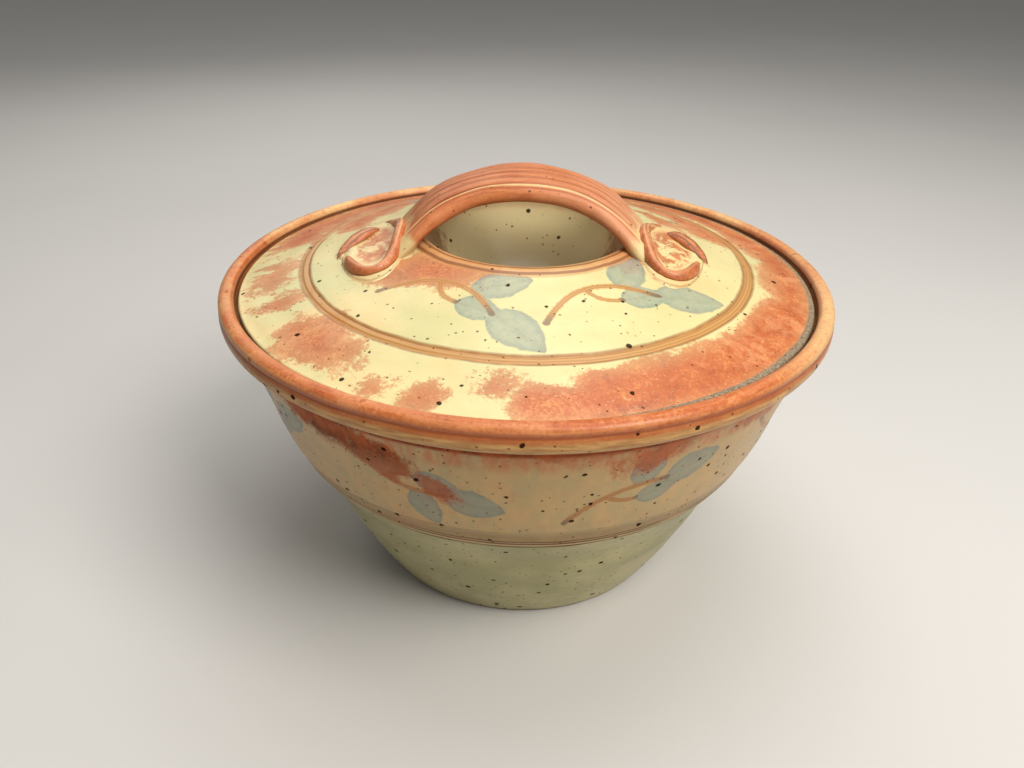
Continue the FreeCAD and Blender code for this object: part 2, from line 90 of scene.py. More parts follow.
class ShaderGraph:
    """One material's nodes, written as short calls that return sockets."""

    def __init__(self, name: str) -> None:
        """Starts a material with a principled shader and Object coordinates.

        Args:
            name: the material's name.
        """
        self.material = bpy.data.materials.new(name)
        self.material.use_nodes = True
        self.tree = self.material.node_tree
        self.tree.nodes.clear()
        self.shader = self.add("ShaderNodeBsdfPrincipled")
        output = self.add("ShaderNodeOutputMaterial")
        self.tree.links.new(self.shader.outputs[0], output.inputs[0])
        self.place = self.add("ShaderNodeTexCoord").outputs["Object"]
        self.x, self.y, self.z = self.split(self.place)

    def add(self, kind: str, **settings: object) -> bpy.types.Node:
        """Adds a node of a kind and sets its settings."""
        node = self.tree.nodes.new(kind)
        for key, value in settings.items():
            setattr(node, key, value)
        return node

    def feed(self, target: Socket, value: Union[Value, Colour]) -> None:
        """Links a socket to an input, or sets the input's own value."""
        if isinstance(value, Socket):
            self.tree.links.new(value, target)
        else:
            target.default_value = value

    def split(self, vector: Socket) -> Sequence[Socket]:
        """A vector's three values."""
        node = self.add("ShaderNodeSeparateXYZ")
        self.feed(node.inputs[0], vector)
        return node.outputs

    def math(self, operation: str, *values: Value) -> Socket:
        """The result of a math node.

        Args:
            operation: what the node does, such as "MULTIPLY".
            values: up to three sockets or numbers.

        Returns:
            The node's value socket.
        """
        node = self.add("ShaderNodeMath", operation=operation)
        for target, value in zip(node.inputs, values):
            self.feed(target, value)
        return node.outputs[0]

    def times(self, a: Value, b: Value) -> Socket:
        """a times b."""
        return self.math("MULTIPLY", a, b)

    def plus(self, a: Value, b: Value) -> Socket:
        """a plus b."""
        return self.math("ADD", a, b)

    def minus(self, a: Value, b: Value) -> Socket:
        """a minus b."""
        return self.math("SUBTRACT", a, b)

    def swing(self, value: Value, depth: Value) -> Socket:
        """A value of 0 to 1 as a swing of half the depth to either side."""
        return self.times(self.minus(value, 0.5), depth)

    def radius(self) -> Socket:
        """The distance from the wheel's axis."""
        return self.math("SQRT", self.plus(self.times(self.x, self.x), self.times(self.y, self.y)))

    def largest(self, *values: Value) -> Socket:
        """The largest of several values."""
        result = values[0]
        for value in values[1:]:
            result = self.math("MAXIMUM", result, value)
        return result

    def rise(self, value: Value, low: float, high: float) -> Socket:
        """0 below low, 1 above high and smooth between; falls instead where low is above high."""
        node = self.add("ShaderNodeMapRange", interpolation_type="SMOOTHSTEP", clamp=True)
        node.inputs["From Min"].default_value = low
        node.inputs["From Max"].default_value = high
        self.feed(node.inputs["Value"], value)
        return node.outputs["Result"]

    def band(self, value: Value, centre: float, half: float, soft: float) -> Socket:
        """1 within half of a centre, falling to 0 over soft beyond it."""
        gap = self.math("ABSOLUTE", self.minus(value, centre))
        return self.rise(gap, half + soft, half)

    def noise(self, size: float, detail: float = 2.0, rough: float = 0.5, warp: float = 0.0,
              place: Union[Socket, None] = None, shift: float = 0.0) -> Socket:
        """Soft noise between 0 and 1.

        Args:
            size: the width of a feature in metres.
            detail: octaves of finer noise.
            rough: how strong the finer octaves are.
            warp: distortion.
            place: the coordinates, or None for the object's own.
            shift: moves the pattern along, so that two of one size differ.

        Returns:
            The noise's factor.
        """
        node = self.add("ShaderNodeTexNoise", noise_dimensions="4D")
        for key, number in (("Scale", 1 / size), ("Detail", detail), ("Roughness", rough),
                            ("Distortion", warp), ("W", shift)):
            node.inputs[key].default_value = number
        self.feed(node.inputs["Vector"], place or self.place)
        return node.outputs[0]

    def mapped(self, place: Socket, scale: Triple, turn: Triple = (0, 0, 0)) -> Socket:
        """Coordinates that are scaled and then turned."""
        node = self.add("ShaderNodeMapping")
        self.feed(node.inputs["Vector"], place)
        node.inputs["Scale"].default_value = scale
        node.inputs["Rotation"].default_value = turn
        return node.outputs[0]

    def joined(self, x: Value, y: Value, z: Value) -> Socket:
        """A vector from three values."""
        node = self.add("ShaderNodeCombineXYZ")
        for target, value in zip(node.inputs, (x, y, z)):
            self.feed(target, value)
        return node.outputs[0]

    def spots(self, spacing: float, small: float, large: float, share: float,
              place: Union[Socket, None] = None) -> Socket:
        """Scattered round spots of uneven size.

        Args:
            spacing: the mean distance between places where a spot may be, in metres.
            small: the least radius, in metres.
            large: the greatest radius.
            share: the share of the places that have a spot.
            place: the coordinates, or None for the object's own.

        Returns:
            1 inside a spot and 0 outside, with a soft edge.
        """
        node = self.add("ShaderNodeTexVoronoi", feature="F1", voronoi_dimensions="3D")
        node.inputs["Scale"].default_value = 1 / spacing
        self.feed(node.inputs["Vector"], place or self.place)
        chance, swell, _ = self.split(node.outputs["Color"])
        kept = self.math("LESS_THAN", chance, share)
        size = self.plus(small / spacing, self.times(swell, (large - small) / spacing))
        depth = self.math("DIVIDE", node.outputs["Distance"], size)
        return self.times(self.rise(depth, 1.0, 0.72), kept)

    def mix(self, share: Value, under: Tone, over: Tone) -> Socket:
        """One colour laid over another.

        Args:
            share: how much of the upper colour shows, 0 to 1.
            under: the lower colour.
            over: the upper colour.

        Returns:
            The mixed colour.
        """
        node = self.add("ShaderNodeMix", data_type="RGBA", blend_type="MIX")
        self.feed(node.inputs[0], share)
        self.feed(node.inputs[6], under)
        self.feed(node.inputs[7], over)
        return node.outputs[2]

    def lay(self, under: Tone, over: Tone, mask: Value, strength: Value) -> Socket:
        """One colour laid over another through a mask, at a share of full strength."""
        return self.mix(self.times(mask, strength), under, over)

    def painted(self, name: str) -> Sequence[Socket]:
        """The three values of a painted vector attribute."""
        node = self.add("ShaderNodeAttribute", attribute_name=name)
        return self.split(node.outputs["Vector"])

    def bump(self, height: Socket, depth: float, strength: float = 1.0) -> None:
        """Roughens the surface by a height of 0 to 1 over a depth in metres."""
        node = self.add("ShaderNodeBump")
        node.inputs["Strength"].default_value = strength
        node.inputs["Distance"].default_value = depth
        self.feed(node.inputs["Height"], height)
        self.feed(self.shader.inputs["Normal"], node.outputs[0])

    def finish(self, colour: Socket, rough: Value, coat: float = 0.0,
               ior: float = 1.5, dull: Value = 0.0) -> Finish:
        """Sets the shader's colour and gloss and returns the material.

        Args:
            colour: the base colour.
            rough: the roughness.
            coat: the weight of the clear coat.
            ior: the index of refraction, which sets how much the surface mirrors.
            dull: how much of that mirroring is lost, such as on iron spots.

        Returns:
            The finished material.
        """
        self.feed(self.shader.inputs["Base Color"], colour)
        self.feed(self.shader.inputs["Roughness"], rough)
        self.shader.inputs["IOR"].default_value = ior
        if dull:
            level = self.minus(0.5, self.times(dull, 0.5))
            self.feed(self.shader.inputs["Specular IOR Level"], level)
        self.shader.inputs["Coat Weight"].default_value = coat
        self.shader.inputs["Coat Roughness"].default_value = 0.22
        return self.material


# ==== modelling


def clear_selection() -> None:
    """Deselects every object and leaves edit mode."""
    if bpy.context.object and bpy.context.object.mode != "OBJECT":
        bpy.ops.object.mode_set(mode="OBJECT")
    bpy.ops.object.select_all(action="DESELECT")


def make_active(piece: Piece) -> None:
    """Selects one object alone."""
    clear_selection()
    piece.select_set(True)
    bpy.context.view_layer.objects.active = piece


def smooth_line(corners: Sequence[Point], spacing: float) -> list[Point]:
    """Points along a smooth curve through the corners.

    Args:
        corners: the points that the curve runs through.
        spacing: the distance between its points.

    Returns:
        The curve's points, both ends included.
    """
    pts = [Vector(c) for c in corners]
    pts = [pts[0] * 2 - pts[1]] + pts + [pts[-1] * 2 - pts[-2]]
    result: list[Point] = []
    for before, start, end, after in zip(pts, pts[1:], pts[2:], pts[3:]):
        steps = max(1, round((end - start).length / spacing))
        length = (end - start).length
        out = tangent_at(before, start, end) * length
        into = tangent_at(start, end, after) * length
        for i in range(steps):
            t = i / steps
            point = (start * (2 * t ** 3 - 3 * t ** 2 + 1) + out * (t ** 3 - 2 * t ** 2 + t)
                     + end * (3 * t ** 2 - 2 * t ** 3) + into * (t ** 3 - t ** 2))
            result.append((point[0], point[1]))
    result.append(tuple(corners[-1]))
    return result


def tangent_at(before: Vector, here: Vector, after: Vector) -> Vector:
    """The direction of a curve at its middle point, weighted to the nearer neighbour."""
    back, ahead = here - before, after - here
    weighted = back * (ahead.length / back.length) + ahead * (back.length / ahead.length)
    return weighted.normalized()


def round_line(start: Point, through: Point, end: Point, spacing: float) -> list[Point]:
    """Points along the circle's arc from start through a point to end.

    Args:
        start: the arc's first point.
        through: a point that it passes.
        end: its last point.
        spacing: the distance between its points.

    Returns:
        The arc's points, both ends included.
    """
    (ax, ay), (bx, by), (cx, cy) = start, through, end
    area = 2 * (ax * (by - cy) + bx * (cy - ay) + cx * (ay - by))
    aa, bb, cc = ax * ax + ay * ay, bx * bx + by * by, cx * cx + cy * cy
    ox = (aa * (by - cy) + bb * (cy - ay) + cc * (ay - by)) / area
    oy = (aa * (cx - bx) + bb * (ax - cx) + cc * (bx - ax)) / area
    radius = math.hypot(ax - ox, ay - oy)
    first = math.atan2(ay - oy, ax - ox)
    middle = math.remainder(math.atan2(by - oy, bx - ox) - first, math.tau)
    last = math.remainder(math.atan2(cy - oy, cx - ox) - first, math.tau)
    if middle * last < 0 or abs(middle) > abs(last):
        last += math.copysign(math.tau, middle)
    steps = max(2, round(abs(last) * radius / spacing))
    angles = [first + last * i / steps for i in range(steps + 1)]
    return [(ox + radius * math.cos(a), oy + radius * math.sin(a)) for a in angles]


def chained(*runs: Sequence[Point]) -> list[Point]:
    """Runs of points joined end to end, without the points that they share."""
    result: list[Point] = []
    for run in runs:
        for point in run:
            if not result or math.dist(result[-1], point) > 0.02 * MM:
                result.append((point[0], point[1]))
    return result


def start_mesh(name: str) -> Piece:
    """A primitive merged to one vertex at the origin, in edit mode and selected."""
    clear_selection()
    bpy.ops.mesh.primitive_plane_add(size=MM)
    piece = bpy.context.object
    piece.name = piece.data.name = name
    bpy.ops.object.mode_set(mode="EDIT")
    bpy.ops.mesh.select_all(action="SELECT")
    bpy.ops.mesh.merge(type="CENTER")
    return piece


def turn_on_wheel(name: str, profile: Sequence[Point], steps: int) -> Piece:
    """Extrudes a profile point by point and spins it round the wheel's axis.

    Args:
        name: the piece's name.
        profile: radius and height of each point; both ends are on the axis.
        steps: the number of faces round the axis.

    Returns:
        The closed, smooth-shaded piece.
    """
    piece = start_mesh(name)
    at = Vector((profile[0][0], 0, profile[0][1]))
    bpy.ops.transform.translate(value=at)
    for radius, height in profile[1:]:
        step = Vector((radius, 0, height)) - at
        bpy.ops.mesh.extrude_region_move(TRANSFORM_OT_translate={"value": step})
        at += step
    bpy.ops.mesh.select_all(action="SELECT")
    bpy.ops.mesh.spin(steps=steps, angle=math.tau, center=(0, 0, 0), axis=(0, 0, 1))
    return close_mesh(piece)


def close_mesh(piece: Piece) -> Piece:
    """Merges doubles, turns the faces outwards and smooths the shading."""
    bpy.ops.mesh.select_all(action="SELECT")
    bpy.ops.mesh.remove_doubles(threshold=0.01 * MM)
    bpy.ops.mesh.normals_make_consistent(inside=False)
    bpy.ops.object.mode_set(mode="OBJECT")
    bpy.ops.object.shade_smooth()
    return piece


def loft(name: str, rings: Sequence[Sequence[Vector]]) -> Piece:
    """Extrudes a ring of vertices through a row of rings and closes both ends.

    Args:
        name: the piece's name.
        rings: the rings' points, all with the same number.

    Returns:
        The closed, smooth-shaded piece.
    """
    clear_selection()
    bpy.ops.mesh.primitive_circle_add(vertices=len(rings[0]), radius=MM, fill_type="NGON")
    piece = bpy.context.object
    piece.name = piece.data.name = name
    bpy.ops.object.mode_set(mode="EDIT")
    bpy.ops.mesh.select_all(action="SELECT")
    place_selected(piece, rings[0])
    for ring in rings[1:]:
        bpy.ops.mesh.extrude_region_move(TRANSFORM_OT_translate={"value": (0, 0, 0)})
        place_selected(piece, ring)
    return close_mesh(piece)


def place_selected(piece: Piece, ring: Sequence[Vector]) -> None:
    """Moves the selected loop's vertices to a ring's points, in the loop's order."""
    mesh = bmesh.from_edit_mesh(piece.data)
    face = next(f for f in mesh.faces if f.select and len(f.verts) == len(ring))
    for vertex, point in zip(face.verts, ring):
        vertex.co = point
    bmesh.update_edit_mesh(piece.data)


def add_modifier(piece: Piece, kind: str, **settings: object) -> None:
    """Adds a modifier, sets it and applies it."""
    make_active(piece)
    modifier = piece.modifiers.new(kind.lower(), kind)
    for key, value in settings.items():
        setattr(modifier, key, value)
    bpy.ops.object.modifier_apply(modifier=modifier.name)


def round_off(piece: Piece, levels: int) -> None:
    """Subdivides a piece to a smooth clay form."""
    add_modifier(piece, "SUBSURF", levels=levels, render_levels=levels)


def wobble(piece: Piece, size: float, depth: float) -> None:
    """Makes a surface as uneven as hand-shaped clay.

    Args:
        piece: the piece.
        size: the width of a swell in metres.
        depth: the whole range of the swell's height.
    """
    texture = bpy.data.textures.new(piece.name + "_wobble", "CLOUDS")
    texture.noise_scale = size
    texture.noise_depth = 1
    add_modifier(piece, "DISPLACE", texture=texture, texture_coords="LOCAL",
                 strength=depth, mid_level=0.5)


def stand(piece: Piece) -> None:
    """Grinds a foot level, so that nothing reaches below the floor."""
    places = vertex_places(piece)
    places[:, 2] = np.maximum(places[:, 2], 0.0)
    piece.data.vertices.foreach_set("co", places.ravel())
    piece.data.update()


def vertex_places(piece: Piece) -> np.ndarray:
    """Every vertex's place as rows of x, y and z."""
    places = np.empty(len(piece.data.vertices) * 3)
    piece.data.vertices.foreach_get("co", places)
    return places.reshape(-1, 3)


def paint(piece: Piece, name: str, values: np.ndarray) -> None:
    """Stores rows of three values on a piece's vertices, for a finish to read."""
    layer = piece.data.attributes.new(name, "FLOAT_VECTOR", "POINT")
    layer.data.foreach_set("vector", np.ascontiguousarray(values, dtype=np.float32).ravel())


# ==== painted motif


@dataclass(frozen=True)
class Stem:
    """A brushed stem: a bowed stroke from a start point in a direction, on a flat layout."""

    start: Point
    heading: float
    length: float
    bow: float
    width: float = 3 * MM

    def points(self, count: int = 18) -> np.ndarray:
        """Points along the stroke."""
        share = np.linspace(0, 1, count)
        along = share * self.length
        aside = self.bow * 4 * share * (1 - share)
        c, s = math.cos(self.heading), math.sin(self.heading)
        x = self.start[0] + along * c - aside * s
        y = self.start[1] + along * s + aside * c
        return np.stack([x, y], 1)

    def at(self, share: float) -> tuple[Point, float]:
        """The place and heading at a share of the stroke."""
        pts = self.points(41)
        i = min(int(share * 40), 39)
        step = pts[i + 1] - pts[i]
        return (float(pts[i][0]), float(pts[i][1])), math.atan2(step[1], step[0])


@dataclass(frozen=True)
class Leaf:
    """A leaf laid down with one press of a soft brush."""

    root: Point
    heading: float
    length: float
    width: float


@dataclass(frozen=True)
class Sprig:
    """A generic running sprig: one bowed stem with slender leaves on alternate sides."""

    start: Point
    heading: float
    size: float
    bow: float

    def stems(self) -> list[Stem]:
        """The sprig's main stem and its short side stem."""
        main = Stem(self.start, self.heading, self.size, self.bow * self.size)
        root, heading = main.at(0.45)
        side = Stem(root, heading - math.copysign(0.75, self.bow), self.size * 0.3,
                    -self.bow * self.size * 0.25, 2.6 * MM)
        return [main, side]

    def leaves(self) -> list[Leaf]:
        """Leaves at the stem's end and beside it."""
        main, side = self.stems()
        result = []
        for share, turn, size in ((1.0, 0.35, 0.58), (0.74, 1.05, 0.5)):
            root, heading = main.at(share)
            result.append(Leaf(root, heading + math.copysign(turn, self.bow),
                               self.size * size, self.size * size * 0.32))
        root, heading = side.at(1.0)
        result.append(Leaf(root, heading, self.size * 0.42, self.size * 0.42 * 0.32))
        return result


def stem_rows(flat: np.ndarray, sprigs: Sequence[Sprig]) -> np.ndarray:
    """Measures every vertex against the motif's stems.

    Args:
        flat: each vertex's place on the flat layout, in metres.
        sprigs: the motif.

    Returns:
        Rows of sideways distance over half width, share along and distance over half width.
    """
    rows = np.full((len(flat), 3), FAR_FROM_STROKES)
    for stem in [stem for sprig in sprigs for stem in sprig.stems()]:
        pts = stem.points()
        for i, (a, b) in enumerate(zip(pts, pts[1:])):
            step = b - a
            length = float(np.hypot(*step))
            unit = step / length
            rel = flat - a
            along = np.clip(rel @ unit, 0, length)
            off = rel - along[:, None] * unit
            side = np.sign(off @ np.array([-unit[1], unit[0]]))
            gap = np.hypot(off[:, 0], off[:, 1]) / (stem.width / 2)
            share = (i + along / length) / (len(pts) - 1)
            nearer = gap < rows[:, 2]
            rows[nearer] = np.stack([gap * side, share, gap], 1)[nearer]
    return rows


def leaf_rows(flat: np.ndarray, sprigs: Sequence[Sprig]) -> np.ndarray:
    """Measures every vertex against the motif's leaves.

    Args:
        flat: each vertex's place on the flat layout, in metres.
        sprigs: the motif.

    Returns:
        Rows of depth inside the leaf, share along and sideways share.
    """
    far = FAR_FROM_STROKES
    rows = np.full((len(flat), 3), -far)
    for leaf in [leaf for sprig in sprigs for leaf in sprig.leaves()]:
        c, s = math.cos(leaf.heading), math.sin(leaf.heading)
        rel = flat - np.array(leaf.root)
        along = (rel @ np.array([c, s])) / leaf.length
        side = (rel @ np.array([-s, c])) / leaf.width
        bulge = np.sin(np.clip(along, 0, 1) ** 0.8 * math.pi) ** 0.75
        ends = np.maximum(-along, along - 1) * leaf.length / leaf.width
        depth = np.where(ends > 0, -ends - np.abs(side), bulge - np.abs(side))
        inner = depth > rows[:, 0]
        rows[inner] = np.stack([depth, along, side], 1)[inner]
    return np.clip(rows, -far, far)


def paint_motif(piece: Piece, flat: np.ndarray, sprigs: Sequence[Sprig],
                painted: np.ndarray) -> None:
    """Stores the motif's stems and leaves on the painted part of a piece.

    Args:
        piece: the piece.
        flat: each vertex's place on the flat layout, in metres.
        sprigs: the motif.
        painted: whether each vertex may take the brush.
    """
    stems, leaves = stem_rows(flat, sprigs), leaf_rows(flat, sprigs)
    stems[~painted] = FAR_FROM_STROKES
    leaves[~painted] = -FAR_FROM_STROKES
    paint(piece, "stem", stems)
    paint(piece, "leaf", leaves)


@dataclass(frozen=True)
class Flash:
    """A soft patch where the glaze broke to rust, on a flat layout.

    centre and half are in millimetres, turn in radians, and weight is how strongly it shows.
    """

    centre: Point
    half: Point
    turn: float = 0.0
    weight: float = 1.0

    def cover(self, flat: np.ndarray) -> np.ndarray:
        """How far inside the patch each place is: weight at its centre, 0 at its edge."""
        c, s = math.cos(self.turn), math.sin(self.turn)
        rel = flat / MM - np.array(self.centre)
        u = (rel[:, 0] * c + rel[:, 1] * s) / self.half[0]
        v = (rel[:, 1] * c - rel[:, 0] * s) / self.half[1]
        return self.weight * (1 - np.hypot(u, v))


@dataclass(frozen=True)
class Sweep:
    """A long patch that follows the wheel: part of a band round the axis.

    radius and half are in millimetres, start and end in degrees.
    """

    radius: float
    half: float
    start: float
    end: float
    weight: float = 1.0

    def cover(self, flat: np.ndarray) -> np.ndarray:
        """How far inside the patch each place is: weight along its middle, 0 at its edge."""
        middle, span = (self.start + self.end) / 2, (self.end - self.start) / 2
        angle = np.degrees(np.arctan2(flat[:, 1], flat[:, 0]))
        past = np.maximum(np.abs((angle - middle + 180) % 360 - 180) - span, 0)
        u = np.radians(past) * self.radius / self.half
        v = (np.hypot(flat[:, 0], flat[:, 1]) / MM - self.radius) / self.half
        return self.weight * (1 - np.hypot(u, v))


def flash_cover(flat: np.ndarray, flashes: Sequence[Union[Flash, Sweep]]) -> np.ndarray:
    """The strongest patch at each place, no lower than -1."""
    cover = np.full(len(flat), -1.0)
    for flash in flashes:
        np.maximum(cover, flash.cover(flat), out=cover)
    return cover


# ==== finishes


@dataclass(frozen=True)
class Palette:
    """The colours that the kiln gave the glazes and the clay, and the tones of painted shade and
    painted highlights.
    """

    cream: Colour = srgb(229, 213, 154)
    cream_green: Colour = srgb(213, 205, 146)
    cream_warm: Colour = srgb(233, 198, 138)
    lining: Colour = srgb(222, 208, 158)
    well_cream: Colour = srgb(228, 215, 166)
    # painted shade for the well's deeper part
    well_painted_shade: Colour = srgb(132, 114, 76)
    celadon: Colour = srgb(190, 180, 132)
    celadon_deep: Colour = srgb(160, 154, 108)
    # painted shade laid on the celadon towards the pot's sides
    celadon_painted_shade: Colour = srgb(126, 120, 84)
    peach: Colour = srgb(197, 161, 110)
    peach_grey: Colour = srgb(180, 157, 111)
    peach_rusty: Colour = srgb(192, 132, 86)
    peach_dull: Colour = srgb(168, 148, 104)
    rust: Colour = srgb(193, 101, 52)
    rust_light: Colour = srgb(216, 138, 79)
    rust_deep: Colour = srgb(146, 66, 34)
    rust_black: Colour = srgb(74, 32, 18)
    flame: Colour = srgb(228, 156, 108)
    ochre: Colour = srgb(200, 140, 70)
    ochre_dark: Colour = srgb(138, 84, 40)
    ochre_sunk: Colour = srgb(136, 88, 46)
    ring_ochre: Colour = srgb(200, 140, 72)
    lip_tan: Colour = srgb(220, 174, 112)
    bead_olive: Colour = srgb(206, 158, 96)
    # painted shade for the lower bead's left side
    bead_painted_shade: Colour = srgb(150, 120, 78)
    band_brown: Colour = srgb(136, 108, 66)
    line_brown: Colour = srgb(104, 70, 40)
    rim_brushed: Colour = srgb(222, 146, 98)
    rim_tan: Colour = srgb(214, 166, 104)
    rim_cream: Colour = srgb(236, 192, 132)
    # painted light on the rim's right side
    rim_painted_light: Colour = srgb(240, 202, 146)
    rim_worn: Colour = srgb(214, 172, 112)
    strap_light: Colour = srgb(224, 146, 92)
    strap_streak: Colour = srgb(160, 82, 42)
    strap_pink: Colour = srgb(216, 142, 100)
    # painted highlight on the strap's right half
    strap_painted_highlight: Colour = srgb(240, 182, 142)
    groove_dark: Colour = srgb(118, 54, 28)
    roll_light: Colour = srgb(206, 128, 80)
    # painted highlight along the top of a roll
    roll_painted_highlight: Colour = srgb(222, 160, 112)
    # dark folds, and painted shade on the buds' low flanks
    fold_and_shade_dark: Colour = srgb(112, 82, 52)
    slip_grey: Colour = srgb(150, 164, 148)
    slip_blue: Colour = srgb(104, 128, 130)
    slip_sunk: Colour = srgb(104, 112, 98)
    stroke_end: Colour = srgb(84, 76, 72)
    iron: Colour = srgb(38, 20, 14)
    iron_purple: Colour = srgb(88, 66, 74)
    bare_clay: Colour = srgb(158, 142, 116)
    bare_clay_dark: Colour = srgb(112, 92, 70)


PALETTE = Palette()


@dataclass(frozen=True)
class IronSpecks:
    """Iron that bled through the glaze from the clay: coarse spots, fine spots and pepper.

    flatten is how much lower than wide a spot is on an upright wall.
    """

    spacing: float = 8 * MM
    small: float = 0.5 * MM
    large: float = 1.6 * MM
    share: float = 0.36
    fine_share: float = 0.55
    flatten: float = 1.0

    def lay(self, g: ShaderGraph, colour: Socket, amount: Value = 1.0) -> tuple[Socket, Socket]:
        """Lays the specks over a colour.

        Args:
            g: the material's nodes.
            colour: the colour below.
            amount: how strongly they show.

        Returns:
            The new colour and the specks' mask.
        """
        warp = g.swing(g.noise(1.6 * MM, detail=2, shift=3.1), 1.6 * MM)
        place = g.add("ShaderNodeVectorMath", operation="ADD")
        g.feed(place.inputs[0], g.mapped(g.place, (1, 1, self.flatten)))
        g.feed(place.inputs[1], g.joined(warp, g.times(warp, -0.6), warp))
        spot_place = place.outputs[0]
        coarse = g.spots(self.spacing, self.small, self.large, self.share, spot_place)
        fine = g.spots(2.8 * MM, 0.3 * MM, 0.75 * MM, self.fine_share, spot_place)
        pepper = g.spots(1.6 * MM, 0.12 * MM, 0.32 * MM, 0.5, spot_place)
        layers = ((pepper, 0.7 * self.fine_share, PALETTE.rust_deep),
                  (fine, 0.75, PALETTE.rust_black), (coarse, 0.94, PALETTE.iron))
        for mask, strength, tone in layers:
            colour = g.mix(g.times(g.times(mask, strength), amount), colour, tone)
        return colour, g.largest(coarse, g.times(fine, 0.5))


def mottled_rust(g: ShaderGraph, shift: float) -> Socket:
    """Rust glaze that clouds from light to deep.

    Args:
        g: the material's nodes.
        shift: moves the noise, so that two areas differ.

    Returns:
        The rust.
    """
    cloud = g.noise(12 * MM, detail=6, rough=0.66, warp=0.4, shift=shift)
    grain = g.noise(1.5 * MM, detail=3, rough=0.7, shift=shift + 4)
    blend = g.plus(g.times(cloud, 0.55), g.times(grain, 0.45))
    colour = g.mix(g.rise(blend, 0.38, 0.50), PALETTE.rust_light, PALETTE.rust)
    colour = g.lay(colour, PALETTE.rust_deep, g.rise(blend, 0.50, 0.64), 0.6)
    flame = g.noise(16 * MM, detail=6, rough=0.7, warp=0.9, shift=shift + 9)
    return g.lay(colour, PALETTE.flame, g.rise(flame, 0.5, 0.62), 0.45)


def broken_edge(g: ShaderGraph, cover: Socket, shift: float, rough: float = 1.0,
                full: float = 0.22) -> Socket:
    """Turns a smooth cover into a patch with a torn, speckled edge.

    Args:
        g: the material's nodes.
        cover: above 0 inside the patch.
        shift: moves the noise, so that two patches differ.
        rough: how far the edge is torn.
        full: the cover at which the patch is at full strength.

    Returns:
        The patch's mask.
    """
    torn = g.noise(9 * MM, detail=7, rough=0.74, warp=0.3, shift=shift)
    speckled = g.noise(1.6 * MM, detail=3, rough=0.7, shift=shift + 7)
    lobes = g.noise(26 * MM, detail=2, shift=shift + 2)
    edge = g.plus(g.swing(torn, 1.9 * rough), g.swing(speckled, rough))
    edge = g.plus(edge, g.swing(lobes, 1.2 * rough))
    patch = g.rise(g.plus(cover, edge), -0.08, full)
    dapple = g.rise(g.noise(1.3 * MM, detail=3, rough=0.65, shift=shift + 3), 0.58, 0.70)
    return g.times(patch, g.minus(1.0, g.times(dapple, 0.4)))


def bare_clay(g: ShaderGraph) -> tuple[Socket, Socket]:
    """The grit and the colour of fired clay without glaze."""
    grit = g.noise(1.3 * MM, detail=3, rough=0.7, shift=26.0)
    tone = g.mix(g.rise(grit, 0.35, 0.65), PALETTE.bare_clay_dark, PALETTE.bare_clay)
    return grit, tone


def satin_skin(g: ShaderGraph) -> tuple[Socket, Socket]:
    """The fine pits and the slow swell of a satin glaze."""
    pits = g.noise(0.9 * MM, detail=2, rough=0.6, shift=41.0)
    return pits, g.noise(5 * MM, detail=2, shift=43.0)


def lay_motif(g: ShaderGraph, colour: Socket, dull: float = 0.0) -> Socket:
    """Lays the brushed stems and leaves over a colour, thin as oxide over glaze.

    Args:
        g: the material's nodes.
        colour: the colour below.
        dull: how far the strokes sank into the glaze, from 0 to 1.

    Returns:
        The new colour.
    """
    side, along, gap = g.painted("stem")
    depth, lengthwise, across = g.painted("leaf")
    drag = g.noise(1.6 * MM, detail=2, shift=8.5)
    waver = g.noise(5 * MM, detail=2, shift=8.9)
    soft = g.plus(g.swing(waver, 0.3), g.swing(drag, 0.08))
    leaf = g.rise(g.plus(depth, soft), -0.02, 0.10)
    pool = g.rise(depth, 0.42, 0.05)
    wash = g.noise(7 * MM, detail=3, shift=5.2)
    pooled = g.plus(g.times(pool, 0.7), g.times(g.rise(wash, 0.4, 0.65), 0.3))
    tint = g.mix(pooled, PALETTE.slip_grey, PALETTE.slip_blue)
    bristles = g.noise(1.1 * MM, detail=3, rough=0.6, shift=6.6, place=g.joined(
        g.times(across, 6 * MM), g.times(lengthwise, 2 * MM), 0.0))
    tint = g.lay(tint, PALETTE.slip_blue, g.rise(bristles, 0.42, 0.66), 0.2)
    tint = g.mix(dull, tint, PALETTE.slip_sunk)
    tint = g.lay(tint, PALETTE.iron_purple, g.band(across, 0.0, 0.05, 0.1), 0.15)
    thin = g.plus(0.62, g.times(g.rise(drag, 0.3, 0.7), 0.14))
    colour = g.lay(colour, tint, leaf, thin)
    stem = g.rise(g.plus(gap, g.swing(drag, 1.1)), 1.25, 0.7)
    stripes = g.largest(g.band(side, -0.45, 0.06, 0.2), g.band(side, 0.3, 0.06, 0.2))
    core = g.minus(1.0, g.times(stripes, 0.6))
    ends = g.largest(g.rise(along, 0.12, 0.0), g.rise(along, 0.86, 1.0))
    line = g.mix(core, PALETTE.ochre_dark, PALETTE.ochre)
    line = g.mix(dull, line, PALETTE.ochre_sunk)
    line = g.lay(line, PALETTE.stroke_end, ends, 0.75)
    return g.lay(colour, line, stem, 0.84)


